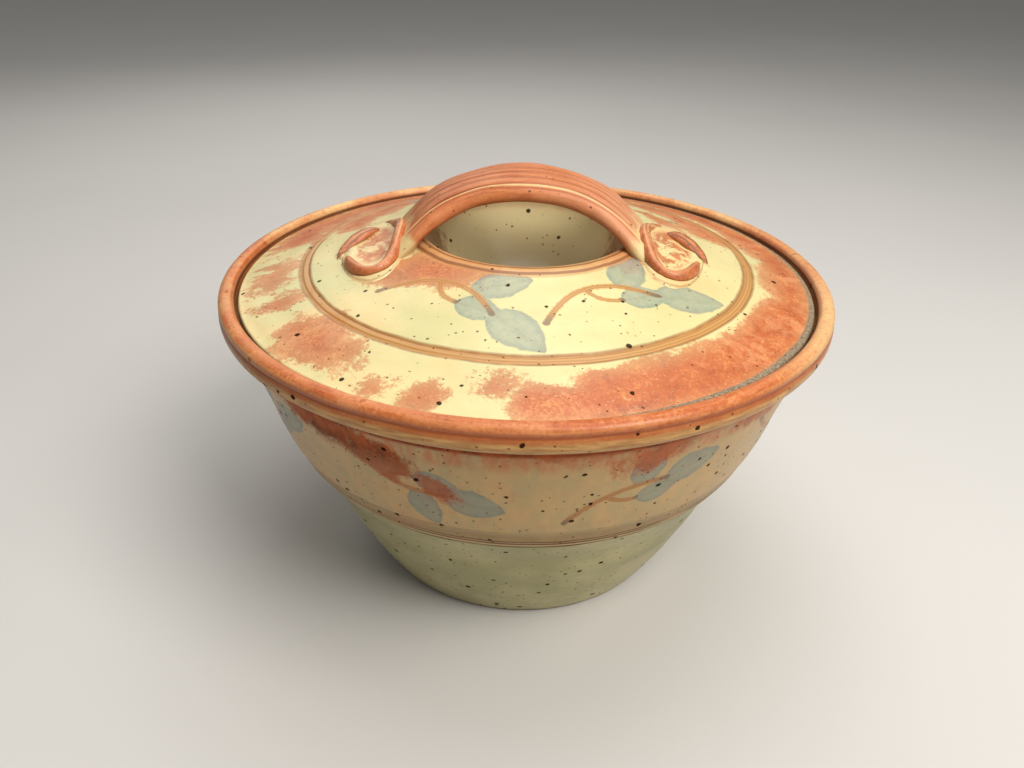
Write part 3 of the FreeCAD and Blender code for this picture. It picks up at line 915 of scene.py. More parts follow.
@dataclass(frozen=True)
class LidGlaze:
    """Cream-yellow satin glaze that broke to rust, over turned lines and a brushed motif."""

    ring_radius: float
    lip_outer: float
    lip_height: float
    well_radius: float
    edge_radius: float
    seat: float
    seat_inner: float

    def material(self) -> Finish:
        """Builds the lid's material."""
        g = ShaderGraph("lid_glaze")
        radius = g.radius()
        loose = g.plus(radius, g.swing(g.noise(16 * MM, detail=2, shift=2.0), 1.4 * MM))
        colour, rusted = self.broken_cream(g)
        colour = lay_motif(g, self.lay_ring(g, loose, colour))
        colour = self.lay_lip(g, loose, colour)
        colour = self.lay_well(g, radius, colour)
        colour, specks = IronSpecks(share=0.3, fine_share=0.22).lay(g, colour)

        to_right = g.rise(g.plus(g.x, g.times(g.y, 0.1)), -60 * MM, 100 * MM)
        margin_from = g.minus(self.edge_radius - 0.4 * MM, g.times(to_right, 2.6 * MM))
        margin = g.rise(g.minus(loose, margin_from), -0.3 * MM, 0.4 * MM)
        grit, clay = bare_clay(g)
        colour = g.mix(margin, colour, clay)
        seat = g.times(g.rise(g.z, self.seat + 0.3 * MM, self.seat + 0.1 * MM),
                       g.rise(radius, self.seat_inner - 4.7 * MM, self.seat_inner - 1.7 * MM))
        colour = g.mix(seat, colour, clay)

        pits, swell = satin_skin(g)
        grain = g.plus(g.times(pits, 0.35), g.times(swell, 0.65))
        height = g.minus(grain, g.times(specks, 0.25))
        height = g.plus(height, g.times(rusted, -0.12))
        height = g.plus(height, g.times(g.minus(grit, 0.5), g.times(margin, 0.8)))
        g.bump(height, 0.22 * MM, 0.9)
        rough = g.plus(0.27, g.times(rusted, 0.12))
        rough = g.plus(rough, g.times(g.largest(margin, seat), 0.45))
        rough = g.plus(rough, g.times(swell, 0.08))
        return g.finish(colour, rough, coat=0.06, dull=specks)

    def broken_cream(self, g: ShaderGraph) -> tuple[Socket, Socket]:
        """Mixes the lid's clouded cream.

        Args:
            g: the material's nodes.

        Returns:
            The cream with its rust patches, and the patches' mask.
        """
        cloud = g.noise(38 * MM, detail=4, rough=0.55, shift=1.0)
        colour = g.mix(g.rise(cloud, 0.4, 0.62), PALETTE.cream, PALETTE.cream_green)
        warm = g.noise(22 * MM, detail=5, rough=0.6, shift=6.0)
        colour = g.lay(colour, PALETTE.cream_warm, g.rise(warm, 0.5, 0.7), 0.55)
        cover, dense, streak = g.painted("flash")
        dragged = g.noise(9 * MM, detail=4, rough=0.6, shift=9.0,
                          place=g.mapped(g.place, (0.35, 1.5, 1.0), turn=(0, 0, -0.5)))
        streaky = g.plus(cover, g.times(streak, g.swing(dragged, 3.2)))
        rusted = broken_edge(g, streaky, 11.0)
        strength = g.plus(0.70, g.times(dense, 0.28))
        return g.lay(colour, mottled_rust(g, 20.0), rusted, strength), rusted

    def lay_ring(self, g: ShaderGraph, loose: Socket, colour: Socket) -> Socket:
        """Lays the ochre ring between its turned lines over a colour.

        Args:
            g: the material's nodes.
            loose: the radius, with the wheel's drift.
            colour: the colour below.

        Returns:
            The new colour.
        """
        def ring(offset: float, half: float, soft: float) -> Socket:
            """A band beside the ring's middle, in millimetres."""
            return g.band(loose, self.ring_radius + offset * MM, half * MM, soft * MM)
        colour = g.lay(colour, PALETTE.ring_ochre, ring(0, 2.1, 0.9), 0.85)
        combed = g.largest(ring(-0.8, 0.15, 0.4), ring(0.7, 0.1, 0.4))
        colour = g.lay(colour, PALETTE.ochre_dark, combed, 0.35)
        worn = g.rise(g.noise(8 * MM, detail=3, shift=14.0), 0.28, 0.55)
        edges = g.largest(ring(-2.4, 0.4, 0.8), ring(2.4, 0.4, 0.8))
        edges = g.times(edges, g.plus(0.5, g.times(worn, 0.5)))
        return g.lay(colour, PALETTE.ochre_dark, edges, 0.6)

    def lay_lip(self, g: ShaderGraph, loose: Socket, colour: Socket) -> Socket:
        """Lays the worn brown of the well's lip and the lines beside it over a colour.

        Args:
            g: the material's nodes.
            loose: the radius, with the wheel's drift.
            colour: the colour below.

        Returns:
            The new colour.
        """
        above = g.rise(g.z, self.lip_height - 17.8 * MM, self.lip_height - 5.8 * MM)
        middle = (self.well_radius + self.lip_outer) / 2 - 0.5 * MM
        lip = g.times(g.band(loose, middle, 4.2 * MM, 2.6 * MM), above)
        worn = g.noise(7 * MM, detail=4, rough=0.6, shift=17.0)
        lip = g.times(lip, g.plus(0.5, g.times(worn, 0.6)))
        colour = g.mix(lip, colour, g.mix(0.6, mottled_rust(g, 31.0), PALETTE.lip_tan))
        places = (self.lip_outer - 0.6 * MM, self.well_radius + 3.4 * MM,
                  self.well_radius - 0.4 * MM)
        lines = g.largest(*[g.band(loose, place, 0.4 * MM, 0.6 * MM) for place in places])
        return g.lay(colour, PALETTE.ochre_dark, g.times(lines, above), 0.8)

    def lay_well(self, g: ShaderGraph, radius: Socket, colour: Socket) -> Socket:
        """Lays the well's pale glaze, painted shade deeper down, and rust with painted shadow in
        its sides over a colour.

        Args:
            g: the material's nodes.
            radius: the distance from the axis.
            colour: the colour below.

        Returns:
            The new colour.
        """
        in_well = g.times(
            g.rise(radius, self.well_radius + 1 * MM, self.well_radius - 2 * MM),
            g.rise(g.z, self.lip_height - 0.3 * MM, self.lip_height - 2.3 * MM))
        blush = g.rise(g.noise(24 * MM, detail=4, shift=23.0), 0.56, 0.72)
        pale = g.lay(PALETTE.well_cream, PALETTE.rust_light, blush, 0.4)
        colour = g.lay(colour, pale, in_well, 0.85)
        # painted shade: the well darker the deeper it goes
        deep = g.rise(g.z, self.lip_height - 11.8 * MM, self.lip_height - 33.8 * MM)
        colour = g.lay(colour, PALETTE.well_painted_shade, g.times(deep, in_well), 0.6)
        # rust mixed with painted shadow in the well's sides under the strap's feet
        corner = g.times(g.rise(g.math("ABSOLUTE", g.x), 26 * MM, 46 * MM),
                         g.rise(g.y, 35 * MM, 0.0))
        streamed = g.noise(5 * MM, detail=5, rough=0.65, shift=27.0,
                           place=g.mapped(g.place, UPRIGHT_RUN))
        rust_and_shadow_spill = g.rise(g.plus(corner, g.swing(streamed, 1.6)), 0.3, 0.7)
        dark = g.mix(0.6, mottled_rust(g, 35.0), PALETTE.rust_black)
        return g.lay(colour, dark, g.times(rust_and_shadow_spill, in_well), 0.75)


@dataclass(frozen=True)
class BodyGlaze:
    """Celadon below the turned lines, peach above them, and rust on the rim."""

    shoulder: float
    neck: float
    notch: float
    rim_radius: float
    gallery_radius: float
    ledge: float

    def material(self) -> Finish:
        """Builds the vessel's material."""
        g = ShaderGraph("body_glaze")
        radius = g.radius()
        level = g.plus(g.z, g.swing(g.noise(26 * MM, detail=2, shift=2.0), 1.6 * MM))
        cloud = g.rise(g.noise(34 * MM, detail=5, rough=0.6, shift=1.0), 0.36, 0.64)
        colour = self.wall(g, level, cloud)
        colour = lay_motif(g, self.lay_lines(g, level, colour), 0.45)

        cover, dense, within = g.painted("flash")
        running = g.noise(6 * MM, detail=5, rough=0.65, warp=0.3, shift=12.0,
                          place=g.mapped(g.place, (1.0, 1.0, 0.35)))
        rusted = broken_edge(g, g.plus(cover, g.swing(running, 1.2)), 13.0, 0.8, 0.5)
        dark = g.mix(g.rise(running, 0.35, 0.6), PALETTE.rust_black, PALETTE.rust_deep)
        rust = g.mix(0.65, mottled_rust(g, 18.0), PALETTE.rust_deep)
        tone = g.lay(rust, dark, dense, 0.9)
        colour = g.lay(colour, tone, rusted, g.plus(0.8, g.times(dense, 0.12)))

        front = g.rise(g.y, 50 * MM, -100 * MM)
        # the dark band under the rim bead: rust with painted shade under its overhang
        throat = g.band(level, self.neck - 3.4 * MM, 2.2 * MM, 1.8 * MM)
        throat = g.times(g.times(throat, self.on_wall(g, radius)),
                         g.plus(0.7, g.times(front, 0.3)))
        colour = self.lay_throat(g, level, colour, throat, dark, front)
        outside = g.rise(radius, self.gallery_radius - 3.2 * MM, self.gallery_radius - 2.2 * MM)
        colour = self.lay_lower_bead(g, level, colour, outside)
        top = g.times(g.rise(level, self.notch - 0.9 * MM, self.notch + 0.8 * MM), outside)
        colour = g.mix(top, colour, self.rim(g, radius, level))
        crease = g.times(g.band(level, self.notch - 0.2 * MM, 0.25 * MM, 0.6 * MM),
                         g.rise(radius, self.rim_radius - 3 * MM, self.rim_radius - 1.8 * MM))
        colour = g.lay(colour, PALETTE.rust_deep, crease, 0.6)

        inside = g.rise(radius, self.gallery_radius - 1.2 * MM, self.gallery_radius - 2.4 * MM)
        ledge = g.times(g.rise(g.z, self.ledge - 1.8 * MM, self.ledge - 0.8 * MM), inside)
        grit, clay = bare_clay(g)
        colour = g.mix(ledge, colour, clay)
        colour = g.mix(within, colour, g.mix(cloud, PALETTE.lining, PALETTE.celadon))
        iron = IronSpecks(spacing=7 * MM, small=0.45 * MM, large=1.6 * MM, share=0.55,
                          fine_share=0.35, flatten=1.1)
        colour, specks = iron.lay(g, colour, g.minus(1.0, g.times(top, 0.7)))
        foot = g.rise(g.z, 2.3 * MM, 1.1 * MM)
        colour = g.mix(foot, colour, clay)

        bare = g.largest(foot, ledge)
        pits, swell = satin_skin(g)
        finger = g.noise(6 * MM, detail=1, shift=45.0, place=g.mapped(g.place, (0.12, 0.12, 1.0)))
        height = g.plus(g.plus(g.times(pits, 0.3), g.times(swell, 0.4)), g.times(finger, 0.7))
        height = g.minus(height, g.times(specks, 0.22))
        height = g.plus(height, g.times(bare, g.times(grit, 0.7)))
        g.bump(height, 0.25 * MM, 0.9)
        rough = g.plus(g.plus(0.30, g.times(swell, 0.1)), g.times(rusted, 0.06))
        rough = g.plus(rough, g.plus(g.times(bare, 0.42), g.times(specks, 0.3)))
        dull = g.largest(specks, g.times(rusted, g.plus(0.5, g.times(dense, 0.4))),
                         g.times(throat, 0.8))
        return g.finish(colour, rough, ior=1.36, dull=dull)

    def on_wall(self, g: ShaderGraph, radius: Socket) -> Socket:
        """1 on the outside of the wall near the neck and 0 inside the pot."""
        return g.rise(radius, self.gallery_radius - 9.8 * MM, self.gallery_radius - 5.8 * MM)

    def wall(self, g: ShaderGraph, level: Socket, cloud: Socket) -> Socket:
        """Mixes the wall's glazes.

        Args:
            g: the material's nodes.
            level: the height, with the wheel's drift.
            cloud: where the celadon clouds.

        Returns:
            Celadon to the turned lines, darkened towards the left and right sides as painted shade,
            and streaked peach above.
        """
        lower = g.mix(cloud, PALETTE.celadon, PALETTE.celadon_deep)
        # painted shade: the lower celadon is darker towards the left and right sides
        shaded = g.largest(g.rise(g.x, -10 * MM, -85 * MM),
                           g.times(g.rise(g.x, 30 * MM, 90 * MM), 0.8))
        lower = g.lay(lower, PALETTE.celadon_painted_shade, shaded, 0.45)
        streaks = g.noise(7 * MM, detail=4, rough=0.6, shift=3.0,
                          place=g.mapped(g.place, UPRIGHT_RUN))
        upper = g.mix(g.rise(streaks, 0.34, 0.64), PALETTE.peach_grey, PALETTE.peach)
        blush = g.noise(30 * MM, detail=4, rough=0.6, shift=5.0)
        upper = g.lay(upper, PALETTE.rust_light, g.rise(blush, 0.52, 0.72), 0.35)
        mottle = g.noise(9 * MM, detail=6, rough=0.7, shift=6.0)
        upper = g.lay(upper, PALETTE.peach_rusty, g.rise(mottle, 0.54, 0.7), 0.4)
        upper = g.lay(upper, PALETTE.peach_dull, g.rise(mottle, 0.46, 0.36), 0.3)
        above = g.rise(level, self.shoulder - 1.5 * MM, self.shoulder + 2.5 * MM)
        return g.mix(above, lower, upper)

    def lay_lines(self, g: ShaderGraph, level: Socket, colour: Socket) -> Socket:
        """Lays the soft slip band and the three turned lines over a colour.

        Args:
            g: the material's nodes.
            level: the height, with the wheel's drift.
            colour: the colour below.

        Returns:
            The new colour.
        """
        def turned(rise: float, half: float, soft: float) -> Socket:
            """A band above the shoulder, in millimetres."""
            return g.band(level, self.shoulder + rise * MM, half * MM, soft * MM)
        worn = g.noise(10 * MM, detail=4, rough=0.6, shift=8.0,
                       place=g.mapped(g.place, (1.0, 1.0, 3.0)))
        colour = g.lay(colour, PALETTE.band_brown, turned(8.0, 1.8, 4.5),
                       g.plus(0.3, g.times(worn, 0.6)))
        lines = g.largest(turned(0.2, 0.4, 0.6), turned(3.2, 0.35, 0.6), turned(5.2, 0.2, 0.5))
        return g.lay(colour, PALETTE.line_brown, lines, 0.85)

    def lay_throat(self, g: ShaderGraph, level: Socket, colour: Socket, throat: Socket,
                   dark: Socket, front: Socket) -> Socket:
        """Lays the dark band under the rim, rust with painted shade under the bead's overhang, and
        the rust that ran from it over a colour.

        Args:
            g: the material's nodes.
            level: the height, with the wheel's drift.
            colour: the colour below.
            throat: the band's mask, for rust with painted shade.
            dark: the darkest rust.
            front: 1 at the pot's front and 0 at its back.

        Returns:
            The new colour.
        """
        broken = g.rise(g.noise(5 * MM, detail=5, rough=0.65, shift=15.0,
                                place=g.mapped(g.place, UPRIGHT_RUN)), 0.36, 0.62)
        # rust with painted shade under the rim bead
        tone = g.mix(g.plus(0.6, g.times(broken, 0.4)), PALETTE.rust_deep, dark)
        colour = g.mix(throat, colour, tone)
        drips = g.times(g.band(level, self.neck - 9 * MM, 2 * MM, 6 * MM),
                        self.on_wall(g, g.radius()))
        drips = g.times(g.times(drips, broken), g.plus(0.35, g.times(front, 0.3)))
        return g.mix(drips, colour, PALETTE.rust)

    def lay_lower_bead(self, g: ShaderGraph, level: Socket, colour: Socket,
                       outside: Socket) -> Socket:
        """Lays the lower bead's olive, rustier at its top and darker on the left side as painted
        shade, over a colour.

        Args:
            g: the material's nodes.
            level: the height, with the wheel's drift.
            colour: the colour below.
            outside: 1 outside the gallery and 0 within.

        Returns:
            The new colour.
        """
        brushed = g.noise(7 * MM, detail=4, rough=0.6, shift=21.0,
                          place=g.mapped(g.place, (0.6, 0.6, 4.0)))
        olive = g.lay(PALETTE.bead_olive, PALETTE.ochre_dark, g.rise(brushed, 0.35, 0.65), 0.6)
        # painted shade: the bead darker on the left side
        olive = g.lay(olive, PALETTE.bead_painted_shade, g.rise(g.x, -70 * MM, -140 * MM), 0.45)
        near_notch = g.rise(level, self.notch - 3.2 * MM, self.notch - 1.8 * MM)
        rust = g.mix(0.5, mottled_rust(g, 24.0), PALETTE.rust_deep)
        olive = g.lay(olive, rust, near_notch, 0.75)
        bead = g.times(g.rise(g.z, self.neck + 1 * MM, self.neck + 2.6 * MM), outside)
        return g.mix(bead, colour, olive)

    def rim(self, g: ShaderGraph, radius: Socket, level: Socket) -> Socket:
        """Mixes the top bead's rust.

        Args:
            g: the material's nodes.
            radius: the distance from the axis.
            level: the height, with the wheel's drift.

        Returns:
            Rust brushed round, pale at the back and sides, dark at its edges, with painted light at
            the right and painted shadow down the gallery.
        """
        round_it = g.joined(radius, g.z, g.times(g.plus(g.x, g.y), 0.06))
        brushed = g.noise(2.6 * MM, detail=4, rough=0.6, shift=35.0, place=round_it)
        rim = g.lay(mottled_rust(g, 24.0), PALETTE.rim_brushed, g.rise(brushed, 0.4, 0.62), 0.55)
        patchy = g.noise(20 * MM, detail=5, rough=0.62, shift=33.0)
        back = g.rise(g.y, -20 * MM, 80 * MM)
        sides = g.rise(g.math("ABSOLUTE", g.x), 90 * MM, 140 * MM)
        back_or_side = g.largest(back, sides)
        pale = g.plus(g.times(back, 0.35), g.times(g.rise(patchy, 0.42, 0.6), 0.55))
        tone = g.mix(back, PALETTE.rim_tan, PALETTE.rim_cream)
        rim = g.mix(g.times(pale, back_or_side), rim, tone)
        # painted light: the rim paler on the right side
        right_painted_light = g.times(g.rise(g.x, 90 * MM, 140 * MM), g.rise(g.y, 40 * MM, -40 * MM))
        rim = g.lay(rim, PALETTE.rim_painted_light, right_painted_light, 0.65)

        streaky = g.plus(radius, g.swing(brushed, 3 * MM))
        outer_edge = g.rise(streaky, self.rim_radius - 2.2 * MM, self.rim_radius - 0.6 * MM)
        worn = g.plus(0.12, g.times(back_or_side, 0.5))
        rim = g.lay(rim, PALETTE.rim_worn, outer_edge, worn)
        inner_edge = g.rise(streaky, self.gallery_radius + 1.6 * MM,
                            self.gallery_radius + 0.6 * MM)
        rim = g.lay(rim, PALETTE.rust_deep, inner_edge, g.minus(0.5, g.times(back, 0.3)))
        grain = g.rise(g.noise(1.3 * MM, detail=3, rough=0.7, shift=37.0), 0.50, 0.62)
        rim = g.lay(rim, PALETTE.rust_deep, grain, 0.3)
        low = g.times(g.rise(level, self.notch + 2.6 * MM, self.notch + 1 * MM),
                      g.rise(radius, self.rim_radius - 2.6 * MM, self.rim_radius - 1.4 * MM))
        rim = g.lay(rim, PALETTE.rust_deep, low, g.minus(0.5, g.times(right_painted_light, 0.3)))
        # painted shadow: the gallery's inner wall dark, in place of the gap between rim and lid
        gap_painted_shadow = g.times(
            g.rise(radius, self.gallery_radius + 0.8 * MM, self.gallery_radius + 0.2 * MM),
            g.rise(g.z, self.notch + 2.4 * MM, self.notch + 1.2 * MM))
        return g.lay(rim, PALETTE.rust_black, gap_painted_shadow, 0.85)


@dataclass(frozen=True)
class StrapGlaze:
    """Rust glaze, thin and pale on the ridge, deep in the grooves, pooled cream at the feet, with a
    painted highlight to the right and painted shade low on its flanks.
    """

    half_length: float = 75 * MM
    half_width: float = 20 * MM

    def material(self) -> Finish:
        """Builds the strap's material."""
        g = ShaderGraph("handle_glaze")
        across, along, upper = g.painted("strap")
        ridge, groove, _ = g.painted("relief")
        unrolled = g.joined(g.times(along, self.half_length), g.times(across, self.half_width), 0.0)
        drag = g.noise(1.2 * MM, detail=4, rough=0.7, shift=3.0,
                       place=g.mapped(unrolled, (0.05, 1.0, 1.0)))
        colour = g.mix(0.45, mottled_rust(g, 50.0), PALETTE.strap_light)
        colour = g.lay(colour, PALETTE.strap_streak, g.rise(drag, 0.42, 0.6), 0.6)
        pink = g.rise(g.noise(18 * MM, detail=4, shift=7.0), 0.42, 0.62)
        colour = g.lay(colour, PALETTE.strap_pink, pink, 0.45)
        # painted highlight: the strap lighter towards its right foot
        colour = g.lay(colour, PALETTE.strap_painted_highlight, g.rise(along, 0.0, 0.7), 0.4)
        top = g.rise(upper, 0.78, 0.96)
        colour = g.lay(colour, PALETTE.groove_dark, g.times(groove, top), 0.95)
        worn = g.rise(g.noise(6 * MM, detail=4, rough=0.6, shift=16.0), 0.3, 0.6)
        crest = g.times(g.rise(ridge, 0.45, 0.8), g.plus(0.6, g.times(worn, 0.4)))
        colour = g.lay(colour, PALETTE.cream_warm, crest, 0.9)
        colour = g.lay(colour, PALETTE.rust_deep, g.band(ridge, 0.16, 0.08, 0.08), 0.5)
        colour = self.lay_feet(g, across, along, colour, top, groove, drag)
        # painted shade: darker low on the strap's flanks and underside
        colour = g.lay(colour, PALETTE.rust_deep, g.rise(upper, 0.3, 0.0), 0.45)
        colour, specks = IronSpecks(share=0.1, fine_share=0.3).lay(g, colour)
        pits = g.noise(0.8 * MM, detail=2, rough=0.6, shift=41.0)
        height = g.plus(g.times(pits, 0.4), g.times(drag, 0.9))
        height = g.minus(height, g.times(specks, 0.2))
        g.bump(height, 0.3 * MM, 1.0)
        rough = g.plus(0.4, g.times(g.noise(6 * MM, detail=2, shift=44.0), 0.12))
        return g.finish(colour, rough, ior=1.38)

    def lay_feet(self, g: ShaderGraph, across: Socket, along: Socket, colour: Socket,
                 top: Socket, groove: Socket, drag: Socket) -> Socket:
        """Lays the cream that pooled in the feet's grooves and on their toes over a colour.

        Args:
            g: the material's nodes.
            across: -1 at the strap's front edge to 1 at its back.
            along: -1 at the left foot to 1 at the right.
            colour: the colour below.
            top: 1 on the strap's upper face.
            groove: 1 in a groove's middle.
            drag: the fingers' fine streaks.

        Returns:
            The new colour.
        """
        out = g.math("ABSOLUTE", along)
        foot = g.rise(out, 0.50, 0.80)
        pooled = g.times(g.rise(g.plus(groove, g.times(drag, 0.5)), 0.55, 0.95), foot)
        colour = g.lay(colour, PALETTE.cream_warm, g.times(pooled, top), 0.8)
        ragged = g.swing(g.noise(7 * MM, detail=4, shift=19.0), 0.2)
        at_front = g.rise(across, 0.2, -0.7)
        toe = g.rise(g.plus(out, ragged), 0.68, 0.77)
        toe = g.times(toe, g.plus(0.35, g.times(at_front, 0.65)))
        return g.lay(colour, PALETTE.cream, toe, 0.85)


@dataclass(frozen=True)
class CurlGlaze:
    """Rust glaze on a roll, with cream caught where it meets the lid and a painted highlight along
    its top.

    folds is how strongly dark folds along its top, and painted shade along its low flanks, show in
    place of pale ribs.
    """

    name: str
    folds: float = 0.0

    def material(self) -> Finish:
        """Builds the roll's material."""
        g = ShaderGraph(self.name)
        lift, across, turn = g.painted("roll")
        colour = g.mix(0.5, mottled_rust(g, 60.0), PALETTE.roll_light)
        patch = g.noise(4 * MM, detail=5, rough=0.68, shift=4.0)
        colour = g.lay(colour, PALETTE.rust_deep, g.rise(patch, 0.46, 0.62), 0.55)
        aside = g.math("ABSOLUTE", across)
        # painted highlight along the roll's top
        crest = g.times(g.rise(aside, 0.35, 0.0), g.rise(lift, 0.6, 0.9))
        colour = g.lay(colour, PALETTE.roll_painted_highlight, crest, 0.5)
        wander = g.plus(across, g.swing(patch, 0.5))
        fold = g.largest(g.band(wander, -0.36, 0.05, 0.12), g.band(wander, 0.34, 0.04, 0.12))
        # painted shade along the roll's low flanks, laid together with the dark folds
        edge = g.times(g.rise(aside, 0.62, 0.95), g.rise(lift, 0.75, 0.35))
        dark = g.largest(fold, g.times(edge, 0.8))
        colour = g.lay(colour, PALETTE.fold_and_shade_dark, dark, self.folds)
        fine = g.plus(across, g.swing(patch, 0.3))
        rib = g.largest(g.band(fine, -0.5, 0.06, 0.12), g.band(fine, 0.15, 0.04, 0.1))
        ribbed = g.times(g.rise(turn, 0.42, 0.26), 0.6 * (1 - self.folds))
        colour = g.lay(colour, PALETTE.cream_warm, rib, ribbed)
        pool = g.plus(lift, g.swing(patch, 0.7))
        colour = g.lay(colour, PALETTE.cream, g.rise(pool, 0.26, 0.08), 0.9)
        colour = g.lay(colour, PALETTE.ochre_dark, g.band(pool, 0.30, 0.05, 0.10), 0.85)
        colour, specks = IronSpecks(share=0.1, fine_share=0.3).lay(g, colour)
        pits = g.noise(0.9 * MM, detail=3, rough=0.65, shift=41.0)
        g.bump(g.minus(pits, g.times(specks, 0.2)), 0.25 * MM, 1.0)
        return g.finish(colour, g.plus(0.3, g.times(patch, 0.14)), coat=0.1)


@dataclass(frozen=True)
class PadGlaze:
    """Cream glaze pooled in the hollow of a pad, broken to rust in the middle."""

    name: str

    def material(self) -> Finish:
        """Builds the pad's material."""
        g = ShaderGraph(self.name)
        _, _, inwards = g.painted("roll")
        cloud = g.noise(12 * MM, detail=4, shift=1.0)
        colour = g.mix(g.rise(cloud, 0.4, 0.6), PALETTE.cream, PALETTE.cream_warm)
        blot = g.noise(8 * MM, detail=6, rough=0.68, warp=0.8, shift=5.0)
        rust = g.times(g.rise(blot, 0.44, 0.52), g.rise(inwards, 0.18, 0.42))
        colour = g.lay(colour, mottled_rust(g, 70.0), rust, 0.85)
        waver = g.swing(g.noise(9 * MM, detail=3, shift=9.0), 0.12)
        smear = g.band(g.plus(inwards, waver), -0.19, 0.01, 0.03)
        colour = g.lay(colour, PALETTE.ochre_dark, smear, 0.45)
        colour, specks = IronSpecks(share=0.3).lay(g, colour)
        pits = g.noise(0.9 * MM, detail=2, rough=0.6, shift=41.0)
        g.bump(g.minus(pits, g.times(specks, 0.2)), 0.2 * MM, 0.8)
        return g.finish(colour, g.plus(0.26, g.times(rust, 0.12)), coat=0.1)


# ==== vessel


@dataclass
class ThrownVessel:
    """The vessel: a flared wall under a rolled rim, with a ledge inside that holds the lid.

    The outline and the beads are radius and height in millimetres. The rust at the left is
    burnt dark above burnt_from, in full after burnt_over more.
    """

    wall: float = 7.3 * MM
    floor: float = 9 * MM
    foot_recess: float = 2.4 * MM
    ring_inner: float = 69.7 * MM
    shoulder: float = 76 * MM
    neck: float = 143.5 * MM
    notch: float = 152.2 * MM
    gallery_radius: float = 141.8 * MM
    ledge: float = 147.6 * MM
    ledge_inner: float = 134.1 * MM
    waist_radius: float = 130 * MM
    rim_radius: float = 149.6 * MM
    foot_radius: float = 79.7 * MM
    burnt_from: float = 116 * MM
    burnt_over: float = 12 * MM
    steps: int = 400
    outline: tuple[Point, ...] = (
        (81.5, 1.8), (89.3, 15.5), (96.8, 31.0), (103.6, 46.0), (110.0, 61.5), (115.3, 69.5),
        (119.8, 76.6), (126.8, 91.7), (131.4, 107.0), (135.7, 122.3), (141.1, 143.5))
    lower_bead: tuple[Point, ...] = (
        (141.1, 143.5), (143.7, 143.0), (146.6, 143.8), (148.5, 145.6), (149.5, 148.2),
        (149.4, 150.4), (148.8, 152.1))
    top_bead: tuple[Point, ...] = (
        (148.8, 152.1), (149.2, 153.4), (148.6, 155.2), (146.7, 156.4), (144.4, 156.5),
        (142.4, 155.3), (141.8, 153.6))

    def outer_radius(self, height: float) -> float:
        """The wall's outer radius at a height."""
        radii = [p[0] * MM for p in self.outline]
        heights = [p[1] * MM for p in self.outline]
        return float(np.interp(height, heights, radii))

    def outer_run(self) -> list[Point]:
        """The outside of the wall, with its turned lines and the fingers' ridges."""
        run = smooth_line([(r * MM, z * MM) for r, z in self.outline], 1.2 * MM)
        dense: list[Point] = []
        for a, b in zip(run, run[1:]):
            fine = self.shoulder - 4 * MM < a[1] < self.shoulder + 16 * MM
            parts = 3 if fine else 1
            dense += [(a[0] + (b[0] - a[0]) * i / parts, a[1] + (b[1] - a[1]) * i / parts)
                      for i in range(parts)]
        dense.append(run[-1])
        return [(r - self.cut_depth(z) + self.finger_ridge(z), z) for r, z in dense]

    def cut_depth(self, height: float) -> float:
        """How deep the turned lines and the soft band are at a height."""
        depth = 0.0
        for rise, width, cut in ((0.0, 0.55, 0.55), (3.2, 0.5, 0.5), (5.2, 0.4, 0.25),
                                 (9.0, 3.0, 0.5), (12.6, 0.6, 0.3)):
            offset = (height - self.shoulder - rise * MM) / (width * MM)
            depth += cut * MM * math.exp(-offset * offset)
        return depth

    def finger_ridge(self, height: float) -> float:
        """The slight ridges that the thrower's fingers left."""
        fade = min(1.0, max(0.0, (self.neck - height) / (12 * MM)), height / (12 * MM))
        slow = math.sin(height / (3.1 * MM)) * 0.10 * MM
        quick = math.sin(height / (1.27 * MM) + 1.3) * 0.05 * MM
        return (slow + quick) * fade

    def inner_run(self) -> list[Point]:
        """The inside: ledge, wall and floor, down to the axis."""
        wall = [(self.ledge_inner, self.ledge - 4.6 * MM)]
        wall += [(self.outer_radius(z * MM) - self.wall, z * MM)
                 for z in (122, 100, 80, 62, 45, 30)]
        corner = self.outer_radius(self.floor) - self.wall
        wall += [(corner - 1.5 * MM, self.floor + 10 * MM),
                 (corner - 7.5 * MM, self.floor + 2.6 * MM), (corner - 17 * MM, self.floor)]
        inside = smooth_line(wall, 3.6 * MM)
        middle = smooth_line([(corner - 17 * MM, self.floor), (0.0, self.floor)], 5 * MM)
        return chained(inside, middle)

    def profile(self) -> list[Point]:
        """The whole profile, from the axis under the foot to the axis on the floor."""
        gallery, ledge, inner = self.gallery_radius, self.ledge, self.ledge_inner
        foot = self.foot_radius
        under = smooth_line([(0.0, self.foot_recess),
                             (self.ring_inner - 2.6 * MM, self.foot_recess)], 6 * MM)
        ring = [(self.ring_inner - 0.3 * MM, 0.2 * MM), (self.ring_inner + 0.3 * MM, 0.0),
                (foot - 4 * MM, 0.0), (foot, 0.0), (foot + 0.9 * MM, 0.4 * MM)]
        beads = chained(smooth_line([(r * MM, z * MM) for r, z in self.lower_bead], 0.6 * MM),
                        smooth_line([(r * MM, z * MM) for r, z in self.top_bead], 0.6 * MM))
        seat = [(gallery, ledge + 1.2 * MM), (gallery - 0.4 * MM, ledge + 0.3 * MM),
                (gallery - 1.2 * MM, ledge), (gallery - 5 * MM, ledge),
                (inner + 1 * MM, ledge), (inner + 0.2 * MM, ledge - 0.5 * MM),
                (inner, ledge - 1.4 * MM)]
        return chained(under, ring, self.outer_run(), beads, seat, self.inner_run())

    def flat(self, places: np.ndarray) -> np.ndarray:
        """Unrolls the wall: distance round it at the waist's radius, and height."""
        angle = np.arctan2(places[:, 0], -places[:, 1])
        return np.stack([angle * self.waist_radius, places[:, 2]], 1)

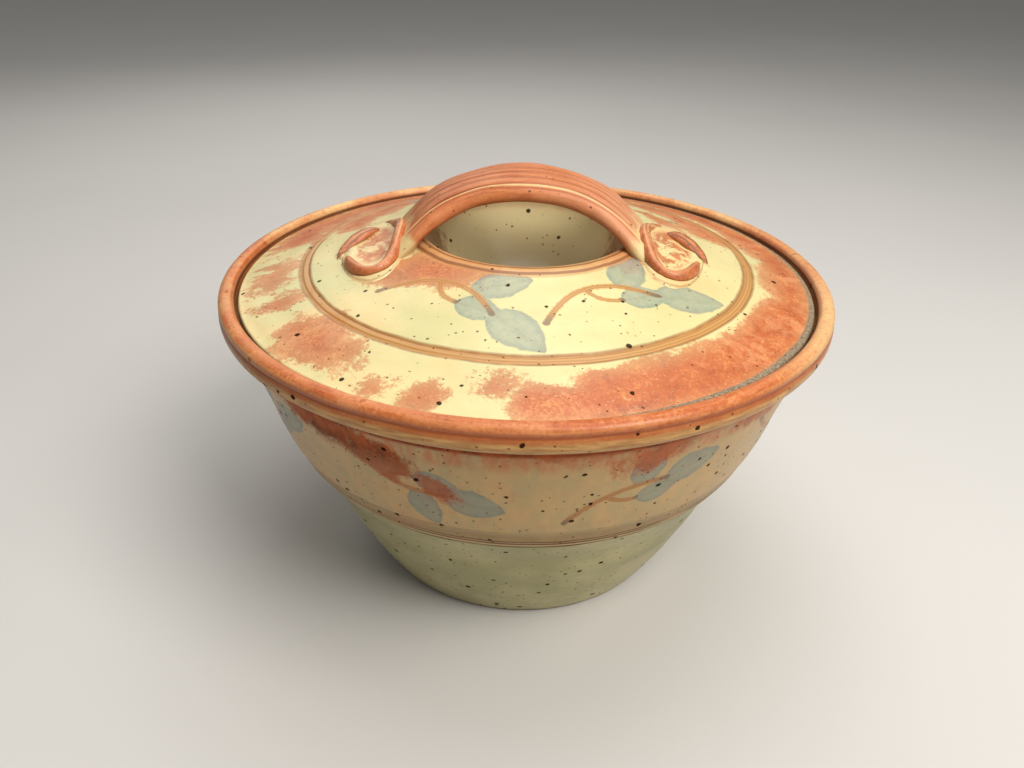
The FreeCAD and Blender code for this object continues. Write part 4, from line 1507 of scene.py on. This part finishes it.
    def round_wall(self, angle: float) -> float:
        """The distance round the unrolled wall from its front to an angle in degrees."""
        return math.radians(angle) * self.waist_radius

    def sprigs(self) -> list[Sprig]:
        """The motif: running sprigs evenly spaced round the upper wall, turned to and fro."""
        result = []
        count = 9
        for i in range(count):
            middle = self.round_wall(360 * i / count - 180)
            up = i % 2 == 1
            start = (middle - 27 * MM, (96 if up else 128) * MM)
            result.append(Sprig(start, 0.45 if up else -0.4, 46 * MM, 0.14 if up else -0.14))
        return result

    def flashes(self) -> list[Flash]:
        """Rust runs under the rim, mostly at the front left and front right."""
        def at(angle: float) -> float:
            """The distance round the wall to an angle, in millimetres."""
            return self.round_wall(angle) / MM
        return [
            Flash((at(-39), 137), (34, 13), -0.2, 1.5),
            Flash((at(-26), 126), (20, 12), -0.6, 1.2),
            Flash((at(-14), 112), (15, 6), -0.6, 0.9),
            Flash((at(22), 132), (20, 10), 0.5, 0.9),
            Flash((at(46), 136), (24, 9), 0.0, 0.9),
            Flash((at(2), 139), (36, 6), 0.0, 0.6),
            Flash((at(92), 134), (30, 13), 0.1, 0.9),
            Flash((at(150), 132), (38, 15), 0.0, 1.0),
            Flash((at(-95), 132), (34, 16), -0.1, 1.1),
            Flash((at(-148), 136), (30, 10), 0.0, 0.8),
        ]

    def build(self) -> Piece:
        """Makes and dresses the vessel."""
        piece = turn_on_wheel("stoneware_vessel", self.profile(), self.steps)
        wobble(piece, 70 * MM, 0.5 * MM)
        stand(piece)
        places = vertex_places(piece)
        flat = self.flat(places)
        middle_of_wall = np.interp(places[:, 2], [p[1] * MM for p in self.outline],
                                   [(p[0] - 4) * MM for p in self.outline])
        outside = np.hypot(places[:, 0], places[:, 1]) > middle_of_wall
        cover = np.where(outside, flash_cover(flat, self.flashes()), -1.0)
        at_left = flat[:, 0] < -20 * MM
        dense = np.clip((places[:, 2] - self.burnt_from) / self.burnt_over, 0, 1) * at_left
        below_ledge = places[:, 2] < self.ledge - 1 * MM
        within = ~outside & below_ledge & (places[:, 2] > self.floor - 2 * MM)
        paint_motif(piece, flat, self.sprigs(), outside)
        paint(piece, "flash", np.stack([cover, dense, within.astype(float)], 1))
        piece.data.materials.append(BodyGlaze(
            self.shoulder, self.neck, self.notch, self.rim_radius, self.gallery_radius,
            self.ledge).material())
        return piece


# ==== lid


@dataclass
class ThrownLid:
    """The lid: a low cone with a flat seat, two turned lines and a sunken well."""

    edge_radius: float = 140.4 * MM
    seat: float = 147.6 * MM
    edge_height: float = 153.2 * MM
    edge_round: float = 1.5 * MM
    seat_inner: float = 132.7 * MM
    wall: float = 6.5 * MM
    ring_radius: float = 108.5 * MM
    lip_outer: float = 58 * MM
    lip_height: float = 177.8 * MM
    well_radius: float = 50 * MM
    well_depth: float = 42 * MM
    cone_top: float = 176.6 * MM
    steps: int = 400

    @property
    def slope(self) -> float:
        """The cone's rise over its run."""
        return (self.cone_top - self.edge_height) / (
            self.edge_radius - self.edge_round - self.lip_outer)

    def top(self, radius: Number) -> Number:
        """The height of the cone at a radius."""
        return self.edge_height + self.slope * (self.edge_radius - self.edge_round - radius)

    def bowl(self, rim: float, centre: float, radius: float, spacing: float) -> list[Point]:
        """The profile of a round bowl from its rim down to the axis."""
        whole = math.asin(min(1.0, rim / radius))
        steps = max(6, round(whole * radius / spacing))
        angles = [whole * (1 - i / steps) for i in range(steps + 1)]
        return [(radius * math.sin(a), centre - radius * math.cos(a)) for a in angles]

    def line_depth(self, radius: float) -> float:
        """How deep the turned lines and the turner's faint ridges are at a radius."""
        depth = 0.0
        for offset in (-1.6, 1.6):
            share = (radius - self.ring_radius - offset * MM) / (0.6 * MM)
            depth += 0.45 * MM * math.exp(-share * share)
        depth += 0.10 * MM * math.sin(radius / (2.4 * MM))
        share = (radius - self.lip_outer - 0.6 * MM) / (0.8 * MM)
        return depth + 0.35 * MM * math.exp(-share * share)

    def cone_run(self) -> list[Point]:
        """The cone from the edge in to the lip, with its turned lines."""
        start = self.edge_radius - self.edge_round
        run = []
        radius = start
        while radius > self.lip_outer:
            run.append((radius, self.top(radius) - self.line_depth(radius)
                        * min(1.0, (start - radius) / (3 * MM))))
            fine = abs(radius - self.ring_radius) < 4 * MM or radius < self.lip_outer + 3 * MM
            radius -= 0.45 * MM if fine else 1.15 * MM
        return run

    def profile(self) -> list[Point]:
        """The whole profile, from the axis under the well round to the axis in the well."""
        bowl_radius = (self.well_radius ** 2 + self.well_depth ** 2) / (2 * self.well_depth)
        centre = self.cone_top - self.well_depth + bowl_radius
        drop = self.wall * math.hypot(1, self.slope)
        under_radius = bowl_radius + self.wall
        join = self.well_radius
        for _ in range(30):
            join = math.sqrt(under_radius ** 2 - (self.top(join) - drop - centre) ** 2)
        below = self.bowl(join, centre, under_radius, 4 * MM)[::-1]
        fillet = smooth_line([below[-2], (join + 1.6 * MM, self.top(join) - drop - 1.2 * MM),
                              (join + 8 * MM, self.top(join + 8 * MM) - drop)], 1.5 * MM)
        seat_top = self.top(self.seat_inner) - drop
        roof = smooth_line([(join + 8 * MM, self.top(join + 8 * MM) - drop),
                            (self.seat_inner - 1 * MM, seat_top + 0.2 * MM)], 5 * MM)
        edge, corner = self.edge_radius, self.edge_round * 0.29
        rim = chained(
            [(self.seat_inner, seat_top - 0.2 * MM), (self.seat_inner + 0.3 * MM, self.seat),
             (edge - 4.4 * MM, self.seat)],
            round_line((edge - self.edge_round, self.seat), (edge - corner, self.seat + corner),
                       (edge, self.seat + self.edge_round), 0.5 * MM),
            round_line((edge, self.edge_height - self.edge_round),
                       (edge - corner, self.edge_height - corner),
                       (edge - self.edge_round, self.edge_height), 0.5 * MM))
        lip = smooth_line([(self.lip_outer, self.cone_top),
                           (self.lip_outer - 1.8 * MM, self.lip_height - 0.3 * MM),
                           (self.well_radius + 3.4 * MM, self.lip_height),
                           (self.well_radius + 1.2 * MM, self.lip_height - 0.3 * MM),
                           (self.well_radius, self.cone_top)], 0.6 * MM)
        inside = self.bowl(self.well_radius, centre, bowl_radius, 2 * MM)
        return chained(below[:-1], fillet, roof, rim, self.cone_run(), lip, inside)

    def sprigs(self) -> list[Sprig]:
        """The motif: sprigs at four listed angles round the lid between the well and the lines."""
        result = []
        for middle in (-120, -67, 42, 98):
            angle = math.radians(middle)
            outward = Vector((math.cos(angle), math.sin(angle)))
            round_it = Vector((-outward.y, outward.x))
            start = outward * 84 * MM - round_it * 26 * MM
            heading = angle + math.pi / 2 + 0.1
            result.append(Sprig((start.x, start.y), heading, 56 * MM, 0.22))
        return result

    def flashes(self) -> list[Union[Flash, Sweep]]:
        """Where the glaze broke to rust, as the kiln left it."""
        sweeps = [
            Sweep(131, 11, -88, -68, 1.5), Sweep(128, 15, -76, -22, 1.7),
            Sweep(129, 14, -26, 12, 1.0), Sweep(127, 15, 14, 80, 1.2),
            Sweep(122, 20, 76, 140, 1.2), Sweep(124, 17, 138, 166, 1.3),
            Sweep(97, 12, 112, 162, 1.0), Sweep(99, 14, 16, 66, 0.95),
            Sweep(77, 8, 12, 34, 0.8)]
        return sweeps + [
            Flash((-42, -50), (31, 13), -0.22, 1.1),
            Flash((-58, -44), (14, 9), 0.5, 0.7),
            Flash((-86, -88), (25, 16), -0.75, 1.0),
            Flash((-96, -78), (12, 10), 0.3, 0.8),
            Flash((-113, -54), (14, 9), 0.3, 0.75),
            Flash((-122, -20), (12, 18), 0.0, 0.55),
            Flash((-120, 24), (18, 9), 0.15, 1.2),
            Flash((-38, -127), (11, 8), 0.1, 0.8),
            Flash((-10, -123), (10, 8), 0.0, 0.5),
            Flash((-56, -121), (8, 6), 0.0, 0.45),
            Flash((44, -34), (16, 12), -0.9, 0.8),
            Flash((-112, 62), (26, 34), -0.5, 1.0),
            Flash((-78, 102), (44, 22), 0.6, 1.2),
            Flash((-20, 126), (56, 16), 0.1, 1.1),
            Flash((50, 116), (50, 18), -0.4, 1.2),
            Flash((96, 84), (42, 19), -0.85, 1.3),
            Flash((122, 46), (22, 14), -1.2, 0.7),
        ]

    def build(self) -> Piece:
        """Makes and dresses the lid."""
        piece = turn_on_wheel("stoneware_lid", self.profile(), self.steps)
        wobble(piece, 60 * MM, 0.4 * MM)
        places = vertex_places(piece)
        flat = places[:, :2]
        radius = np.hypot(flat[:, 0], flat[:, 1])
        upper = places[:, 2] > self.top(radius) - 3 * MM
        cover = np.where(upper, flash_cover(flat, self.flashes()), -1.0)
        dense = np.clip(cover, 0, 1)
        at_left = np.clip((-flat[:, 0] - 60 * MM) / (40 * MM), 0, 1)
        at_back = np.clip((flat[:, 1] + 60 * MM) / (40 * MM), 0.2, 1)
        streak = at_left * at_back
        paint_motif(piece, flat, self.sprigs(), upper)
        paint(piece, "flash", np.stack([cover, dense, streak], 1))
        piece.data.materials.append(LidGlaze(
            self.ring_radius, self.lip_outer, self.lip_height, self.well_radius,
            self.edge_radius, self.seat, self.seat_inner).material())
        return piece


# ==== handle


@dataclass(frozen=True)
class Line:
    """A line that a finger drew along the strap: place and width in half widths, rise in metres."""

    place: float
    width: float
    rise: float

    def shape(self, across: np.ndarray) -> np.ndarray:
        """1 on the line and 0 away from it."""
        return np.exp(-((across - self.place) / self.width) ** 2)


@dataclass
class StrapHandle:
    """The pulled strap: an arch of ribbed sections over the well, spread at its feet."""

    lid: ThrownLid
    shift_x: float = -2 * MM
    width: float = 42 * MM
    foot_width: float = 62 * MM
    offset: float = -1.5 * MM
    edge: float = 7 * MM
    crown: float = 3 * MM
    thin_start: float = 0.5
    foot_thinning: float = 0.45
    splay_start: float = 0.66
    foot_splay: float = 3.5 * MM
    heel_start: float = 0.62
    heel: float = 6 * MM
    finger_height: float = 19 * MM
    reach: float = 52 * MM
    foot_offset: float = -5 * MM
    flare_start: float = 0.2
    root: float = 3.2 * MM
    stations: int = 48
    ridge: Line = Line(-0.87, 0.045, 0.8 * MM)
    grooves: tuple[Line, ...] = (
        Line(-0.75, 0.05, -0.9 * MM), Line(-0.45, 0.06, -0.45 * MM), Line(-0.12, 0.05, -0.75 * MM),
        Line(0.16, 0.06, -0.4 * MM), Line(0.44, 0.05, -0.75 * MM), Line(0.74, 0.05, -0.5 * MM))

    @property
    def land_height(self) -> float:
        """The height at which the strap's underside lands on the lid."""
        return self.lid.top(math.hypot(self.reach, self.foot_width / 2))

    @property
    def radius(self) -> float:
        """The radius of the underside's arch."""
        rise = self.lid.lip_height + self.finger_height - self.land_height
        return (self.reach ** 2 + rise ** 2) / (2 * rise)

    @property
    def centre(self) -> float:
        """The height of the arch's centre."""
        return self.lid.lip_height + self.finger_height - self.radius

    @property
    def end_angle(self) -> float:
        """The angle from the vertical at which the strap's upper face is below the lid."""
        top = self.radius + self.edge + self.crown
        angle = math.asin(self.reach / self.radius)
        while self.centre + top * math.cos(angle) > self.lid.top(top * math.sin(angle)) - self.root:
            angle += math.radians(0.25)
        return angle

    def eased(self, share: Number, start: float) -> Number:
        """0 up to a share of the half arch, rising smoothly to 1 at the strap's end."""
        t = np.clip((np.abs(share) - start) / (1 - start), 0, 1)
        return t * t * (3 - 2 * t)

    def half_width(self, share: Number) -> Number:
        """Half the strap's width."""
        spread = self.eased(share, self.flare_start)
        return (self.width + (self.foot_width - self.width) * spread) / 2

    def middle(self, share: Number) -> Number:
        """How far back the strap's middle is."""
        spread = self.eased(share, self.flare_start)
        return self.offset + (self.foot_offset - self.offset) * spread

    def splay(self, share: Number) -> Number:
        """How far a section near a foot stands out past the arch."""
        t = np.clip((np.abs(share) - self.splay_start) / (1 - self.splay_start), 0, 1)
        return np.sign(share) * self.foot_splay * t * t

    def thickness(self, share: Number, across: Number) -> Number:
        """The strap's thickness, less at its edges and towards its feet."""
        full = self.edge + self.crown * (1 - np.minimum(1.0, np.square(across)))
        return full * (1 - self.foot_thinning * self.eased(share, self.thin_start))

    def relief(self, across: Number) -> Number:
        """The height of the ridge and the grooves at a place across the strap."""
        return sum(line.shape(across) * line.rise for line in (self.ridge, *self.grooves))

    def section(self) -> list[Point]:
        """The section's points: share across and share of the height above the sole."""
        count = 64
        top = [(1.9 * i / count - 0.95, 1.0) for i in range(count + 1)]
        flank = [(1.005, 0.90), (1.045, 0.66), (1.045, 0.40), (1.0, 0.16), (0.92, 0.02)]
        sole = [(0.8 - 1.6 * i / 8, 0.0) for i in range(9)]
        back = [(-across, height) for across, height in reversed(flank)]
        return top + flank + sole + back

    def point(self, share: float, across: float, height: float) -> Vector:
        """A point of the strap.

        Args:
            share: -1 at the left foot to 1 at the right.
            across: -1 at the front edge to 1 at the back.
            height: 0 at the sole to 1 at the top.

        Returns:
            The point in the row frame.
        """
        angle = self.end_angle * share
        uneven = 0.2 * MM * math.sin(9 * share + 2 * across)
        relief = self.relief(across) if height == 1 else 0
        radius = self.radius + self.thickness(share, across) * height + relief + uneven
        radius -= self.heel * self.eased(share, self.heel_start) * (1 - height)
        return Vector((self.shift_x + self.splay(share) + radius * math.sin(angle),
                       self.middle(share) + self.half_width(share) * across
                       + 0.3 * MM * math.sin(5 * share + 0.8),
                       self.centre + radius * math.cos(angle)))

    def top_height(self, x: float, across: float) -> float:
        """The height of the strap's upper face over a place along X, near its feet.

        Args:
            x: the place along X.
            across: -1 at the front edge to 1 at the back.

        Returns:
            The height in metres.
        """
        out = abs(x - self.shift_x)
        share = math.asin(self.reach / self.radius) / self.end_angle
        for _ in range(8):
            radius = self.radius + self.thickness(share, across)
            angle = math.asin(min((out - self.splay(share)) / radius, 1.0))
            share = angle / self.end_angle
        return self.centre + (self.radius + self.thickness(share, across)) * math.cos(angle)

    def build(self) -> Piece:
        """Makes and dresses the strap."""
        outline = self.section()
        rings = []
        for i in range(self.stations + 1):
            share = 2 * i / self.stations - 1
            rings.append([self.point(share, *corner) for corner in outline])
        piece = loft("strap_handle", rings)
        round_off(piece, 1)
        wobble(piece, 16 * MM, 0.5 * MM)
        places = vertex_places(piece)
        out, rise = places[:, 0] - self.shift_x, places[:, 2] - self.centre
        share = np.arctan2(out, rise) / self.end_angle
        out = out - self.splay(share)
        share = np.arctan2(out, rise) / self.end_angle
        across = (places[:, 1] - self.middle(share)) / self.half_width(share)
        height = (np.hypot(out, rise) - self.radius) / self.thickness(share, across)
        height = np.clip(height, 0, 1)
        paint(piece, "strap", np.stack([across, share, height], 1))
        ridge = self.ridge.shape(across)
        groove = np.max([line.shape(across) * (line.rise / (-0.9 * MM))
                         for line in self.grooves], axis=0)
        paint(piece, "relief", np.stack([ridge, groove, height], 1))
        piece.data.materials.append(StrapGlaze().material())
        return piece


@dataclass
class HandleEnd:
    """One end of the handle: a curl over the strap's end, a bud behind it and the pad inside.

    pad_rows are shares of the loop's size and of the pad's height, from its sole up and inwards.
    """

    lid: ThrownLid
    strap: StrapHandle
    side: Side
    centre_x: float = 71 * MM
    centre_y: float = -14.5 * MM
    loop_width: float = 26.4 * MM
    loop_length: float = 61 * MM
    tilt: float = math.radians(8)
    curl_width: float = 5.8 * MM
    curl_height: float = 3.8 * MM
    bud_width: float = 9.6 * MM
    bud_height: float = 4.6 * MM
    bud_start: Point = (71.5 * MM, 6.5 * MM)
    bud_end: Point = (88 * MM, -21.5 * MM)
    bud_bow: float = 2.4 * MM
    pad_height: float = 1.6 * MM
    pad_rows: tuple[Point, ...] = (
        (0.4, -1.625), (1.05, -1.5), (1.24, -0.625), (1.25, 0.0), (1.2, 0.25), (1.1, 0.5625),
        (1.0, 0.9375), (0.84, 1.0), (0.68, 0.625), (0.5, 0.46875), (0.3, 0.5625),
        (0.12, 0.65625))
    ring_points: int = 14

    @property
    def word(self) -> str:
        """left or right."""
        return self.side.name.lower()

    def placed(self, x: float, y: float) -> Point:
        """A plan point that is given for the right end, on this end and in the row frame."""
        return (self.side.value * x + self.strap.shift_x, y)

    def loop(self, turn: float, out: float = 1.0) -> Point:
        """A plan point of the tilted loop; turn 0 is at the back and out scales it."""
        u = -self.loop_width / 2 * math.sin(math.tau * turn) * out
        v = self.loop_length / 2 * math.cos(math.tau * turn) * out
        c, s = math.cos(self.tilt), math.sin(self.tilt)
        return self.placed(self.centre_x + u * c + v * s, self.centre_y - u * s + v * c)

    def in_loop(self, places: np.ndarray) -> tuple[np.ndarray, np.ndarray]:
        """Each place's shares of the loop's half width and half length."""
        rel_x = self.side.value * (places[:, 0] - self.strap.shift_x) - self.centre_x
        rel_y = places[:, 1] - self.centre_y
        c, s = math.cos(self.tilt), math.sin(self.tilt)
        return ((rel_x * c - rel_y * s) / (self.loop_width / 2),
                (rel_x * s + rel_y * c) / (self.loop_length / 2))

    def ground(self, x: float, y: float) -> float:
        """The height of what a roll lies on: the lid's cone or the strap's foot."""
        lid_z = self.lid.top(math.hypot(x, y))
        across = (y - self.strap.foot_offset) / (self.strap.foot_width / 2)
        on_foot = min(max((1.2 - abs(across)) / 0.45, 0.0), 1.0)
        foot_z = self.strap.top_height(x, across)
        return lid_z + max(foot_z - lid_z, 0.0) * on_foot

    def roll(self, name: str, path: Sequence[Point], sizes: Sequence[float], width: float,
             height: float, lift: float, crease: float = 0.0) -> Piece:
        """Rolls a soft tapered piece of clay along a path.

        Args:
            name: the piece's name.
            path: plan points in the row frame.
            sizes: the roll's share of its full size at each.
            width: the full width.
            height: half the full height.
            lift: the middle's height over the ground, as a share of the half height.
            crease: how deep two grooves run along its top, as a share of the half height.

        Returns:
            The piece.
        """
        centres = [Vector((x, y, self.ground(x, y))) for x, y in path]
        rings = []
        for i, (centre, size) in enumerate(zip(centres, sizes)):
            ahead = centres[min(i + 1, len(centres) - 1)] - centres[max(i - 1, 0)]
            across = ahead.cross(Vector((0, 0, 1))).normalized() * self.side.value
            middle = centre + Vector((0, 0, lift * height * size))
            ring = []
            for k in range(self.ring_points):
                angle = math.tau * k / self.ring_points
                rise = math.sin(angle)
                dent = crease * max(0.0, rise) * math.cos(2.5 * (angle - math.pi / 2)) ** 2 * size
                ring.append(middle + across * (width / 2 * size * math.cos(angle))
                            + Vector((0, 0, height * size * (rise - dent))))
            rings.append(ring)
        piece = loft(name, rings)
        round_off(piece, 2)
        wobble(piece, 6 * MM, 0.6 * MM)
        return piece

    def paint_roll(self, piece: Piece, height: float, off: np.ndarray) -> None:
        """Stores height over the lid, place across and turn round the loop for the finish."""
        places = vertex_places(piece)
        radius = np.hypot(places[:, 0], places[:, 1])
        over = (places[:, 2] - self.lid.top(radius)) / height
        u, v = self.in_loop(places)
        paint(piece, "roll", np.stack([over, off, np.arctan2(-u, v) / math.tau % 1.0], 1))

    def curl(self) -> Piece:
        """The long roll: over the strap's end, round the front and back to its tip."""
        first, last, count = 0.055, 0.715, 18
        turns = [first + (last - first) * i / count for i in range(count + 1)]
        sizes = [min(1.0, 0.35 + 5.0 * (t - first), 0.55 + 9 * (last - t))
                 * (0.95 + 0.07 * math.sin(23 * t)) for t in turns]
        piece = self.roll("curl_" + self.word, [self.loop(t) for t in turns], sizes,
                          self.curl_width, self.curl_height, 0.22)
        u, v = self.in_loop(vertex_places(piece))
        off = (np.hypot(u, v) - 1) * self.loop_width / self.curl_width
        self.paint_roll(piece, self.curl_height, off)
        piece.data.materials.append(CurlGlaze("curl_glaze_" + self.word).material())
        return piece

    def bud(self) -> Piece:
        """The slender bud that closes the loop, folded along its top."""
        start = Vector(self.placed(*self.bud_start))
        end = Vector(self.placed(*self.bud_end))
        aside = Vector((start.y - end.y, end.x - start.x)).normalized() * self.side.value
        path, sizes = [], []
        count = 12
        for i in range(count + 1):
            t = i / count
            spot = start.lerp(end, t) + aside * (self.bud_bow * 4 * t * (1 - t))
            path.append((spot.x, spot.y))
            sizes.append(0.14 + 0.86 * math.sin(math.pi * t ** 0.75) ** 0.8)
        piece = self.roll("bud_" + self.word, path, sizes, self.bud_width, self.bud_height,
                          0.12, 0.34)
        flat = vertex_places(piece)[:, :2]
        run = np.array(end - start) / (end - start).length
        rel = flat - np.array(start)
        along = np.clip(rel @ run / (end - start).length, 0, 1)
        bowed = rel @ np.array(aside.normalized()) - self.bud_bow * 4 * along * (1 - along)
        self.paint_roll(piece, self.bud_height, bowed / (self.bud_width / 2))
        piece.data.materials.append(CurlGlaze("bud_glaze_" + self.word, 0.75).material())
        return piece

    def pad(self) -> Piece:
        """The pressed pad inside the loop, smeared out round curl and bud."""
        count = 64
        rings = []
        for out, rise in self.pad_rows:
            ring = []
            for k in range(count):
                x, y = self.loop(k / count, out)
                height = rise * self.pad_height
                ring.append(Vector((x, y, self.lid.top(math.hypot(x, y)) + height)))
            rings.append(ring)
        piece = loft("pad_" + self.word, rings)
        round_off(piece, 1)
        wobble(piece, 5 * MM, 0.5 * MM)
        u, v = self.in_loop(vertex_places(piece))
        paint(piece, "roll", np.stack([v, u, 1 - np.hypot(u, v)], 1))
        piece.data.materials.append(PadGlaze("pad_glaze_" + self.word).material())
        return piece


# ==== studio


@dataclass
class Studio:
    """A pale floor, soft lights and the camera."""

    lens: float = 29.883
    sensor: float = 36.0
    camera_back: float = 400.683 * MM
    camera_up: float = 320.649 * MM
    pitch: float = 0.526
    yaw: float = -0.015
    roll: float = 0.017
    aim: Triple = (0.0, 0.0, 120 * MM)
    floor_size: float = 8.0
    floor_tone: Colour = srgb(206, 204, 201)
    floor_light: Colour = srgb(214, 212, 209)
    sky: Colour = (0.9, 0.89, 0.87, 1.0)
    sky_strength: float = 0.22

    def camera(self) -> None:
        """Adds the scene's camera."""
        data = bpy.data.cameras.new("camera")
        data.sensor_width = self.sensor
        data.lens = self.lens
        data.clip_start = 10 * MM
        thing = bpy.data.objects.new("camera", data)
        bpy.context.collection.objects.link(thing)
        cp, sp = math.cos(self.pitch), math.sin(self.pitch)
        ahead = Vector((math.sin(self.yaw) * cp, math.cos(self.yaw) * cp, -sp))
        right = Vector((math.cos(self.yaw), -math.sin(self.yaw), 0))
        up = right.cross(ahead)
        cr, sr = math.cos(self.roll), math.sin(self.roll)
        across = right * cr + up * sr
        upright = up * cr - right * sr
        turn = Matrix((across, upright, -ahead)).transposed().to_4x4()
        thing.matrix_world = Matrix.Translation((0, -self.camera_back, self.camera_up)) @ turn
        bpy.context.scene.camera = thing

    def light(self, name: str, place: Triple, size: float, power: float, colour: Triple) -> None:
        """Adds a square soft light that faces the pot.

        Args:
            name: the light's name.
            place: where it hangs.
            size: its side's length in metres.
            power: its power in watts.
            colour: its colour.
        """
        data = bpy.data.lights.new(name, "AREA")
        data.size = size
        data.energy = power
        data.color = colour
        thing = bpy.data.objects.new(name, data)
        bpy.context.collection.objects.link(thing)
        thing.location = place
        aim = Vector(self.aim) - Vector(place)
        thing.rotation_euler = aim.to_track_quat("-Z", "Y").to_euler()

    def floor(self) -> None:
        """Adds the pale floor."""
        clear_selection()
        bpy.ops.mesh.primitive_plane_add(size=self.floor_size)
        plane = bpy.context.object
        plane.name = "floor"
        g = ShaderGraph("floor")
        cloud = g.noise(250 * MM, detail=2)
        colour = g.mix(cloud, self.floor_tone, self.floor_light)
        plane.data.materials.append(g.finish(colour, 0.85))

    def build(self) -> None:
        """Sets up camera, floor, lights and sky."""
        self.camera()
        self.floor()
        self.light("key", (0.62, -0.62, 1.12), size=0.7, power=16.5, colour=(1.0, 0.96, 0.9))
        self.light("overhead", (0.1, 0.2, 1.3), size=0.9, power=7.0, colour=(1.0, 0.98, 0.95))
        self.light("back", (-0.4, 1.0, 0.9), size=0.9, power=3.0, colour=(1.0, 0.97, 0.92))
        world = bpy.data.worlds.new("sky")
        bpy.context.scene.world = world
        world.use_nodes = True
        backdrop = world.node_tree.nodes["Background"]
        backdrop.inputs["Color"].default_value = self.sky
        backdrop.inputs["Strength"].default_value = self.sky_strength
        bpy.context.scene.view_settings.view_transform = "Standard"


# ==== assembly


def place_on(piece: Piece, body: str, slot: Slot, *nodes: str) -> None:
    """Makes a piece stand for CAD nodes and ride on their body.

    Args:
        piece: the finished piece.
        body: the body that it moves with.
        slot: a record slot for its finish; not used.
        nodes: the CAD nodes that it stands for.
    """
    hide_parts(*nodes)
    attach(piece, body)
    log.info("%s: %d faces, rides on %s", piece.name, len(piece.data.polygons), body)


def main() -> None:
    """Builds the pot, the lid and the handle, then the studio round them."""
    logging.basicConfig(level=logging.INFO, format="%(name)s: %(message)s")
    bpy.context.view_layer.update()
    Studio().build()
    vessel = ThrownVessel()
    place_on(vessel.build(), "pot", Slot.BODY, "pot_body")
    lid = ThrownLid()
    place_on(lid.build(), "lid", Slot.LID, "lid_plate")
    strap = StrapHandle(lid)
    place_on(strap.build(), "lid", Slot.HANDLE, "handle_strap")
    for side in Side:
        end = HandleEnd(lid, strap, side)
        place_on(end.curl(), "lid", Slot.CURL, "handle_curl_" + end.word)
        place_on(end.bud(), "lid", Slot.CURL, "handle_bud_" + end.word)
        place_on(end.pad(), "lid", Slot.PAD, "handle_pad_" + end.word)
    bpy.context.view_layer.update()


if __name__ == "__main__":
    main()
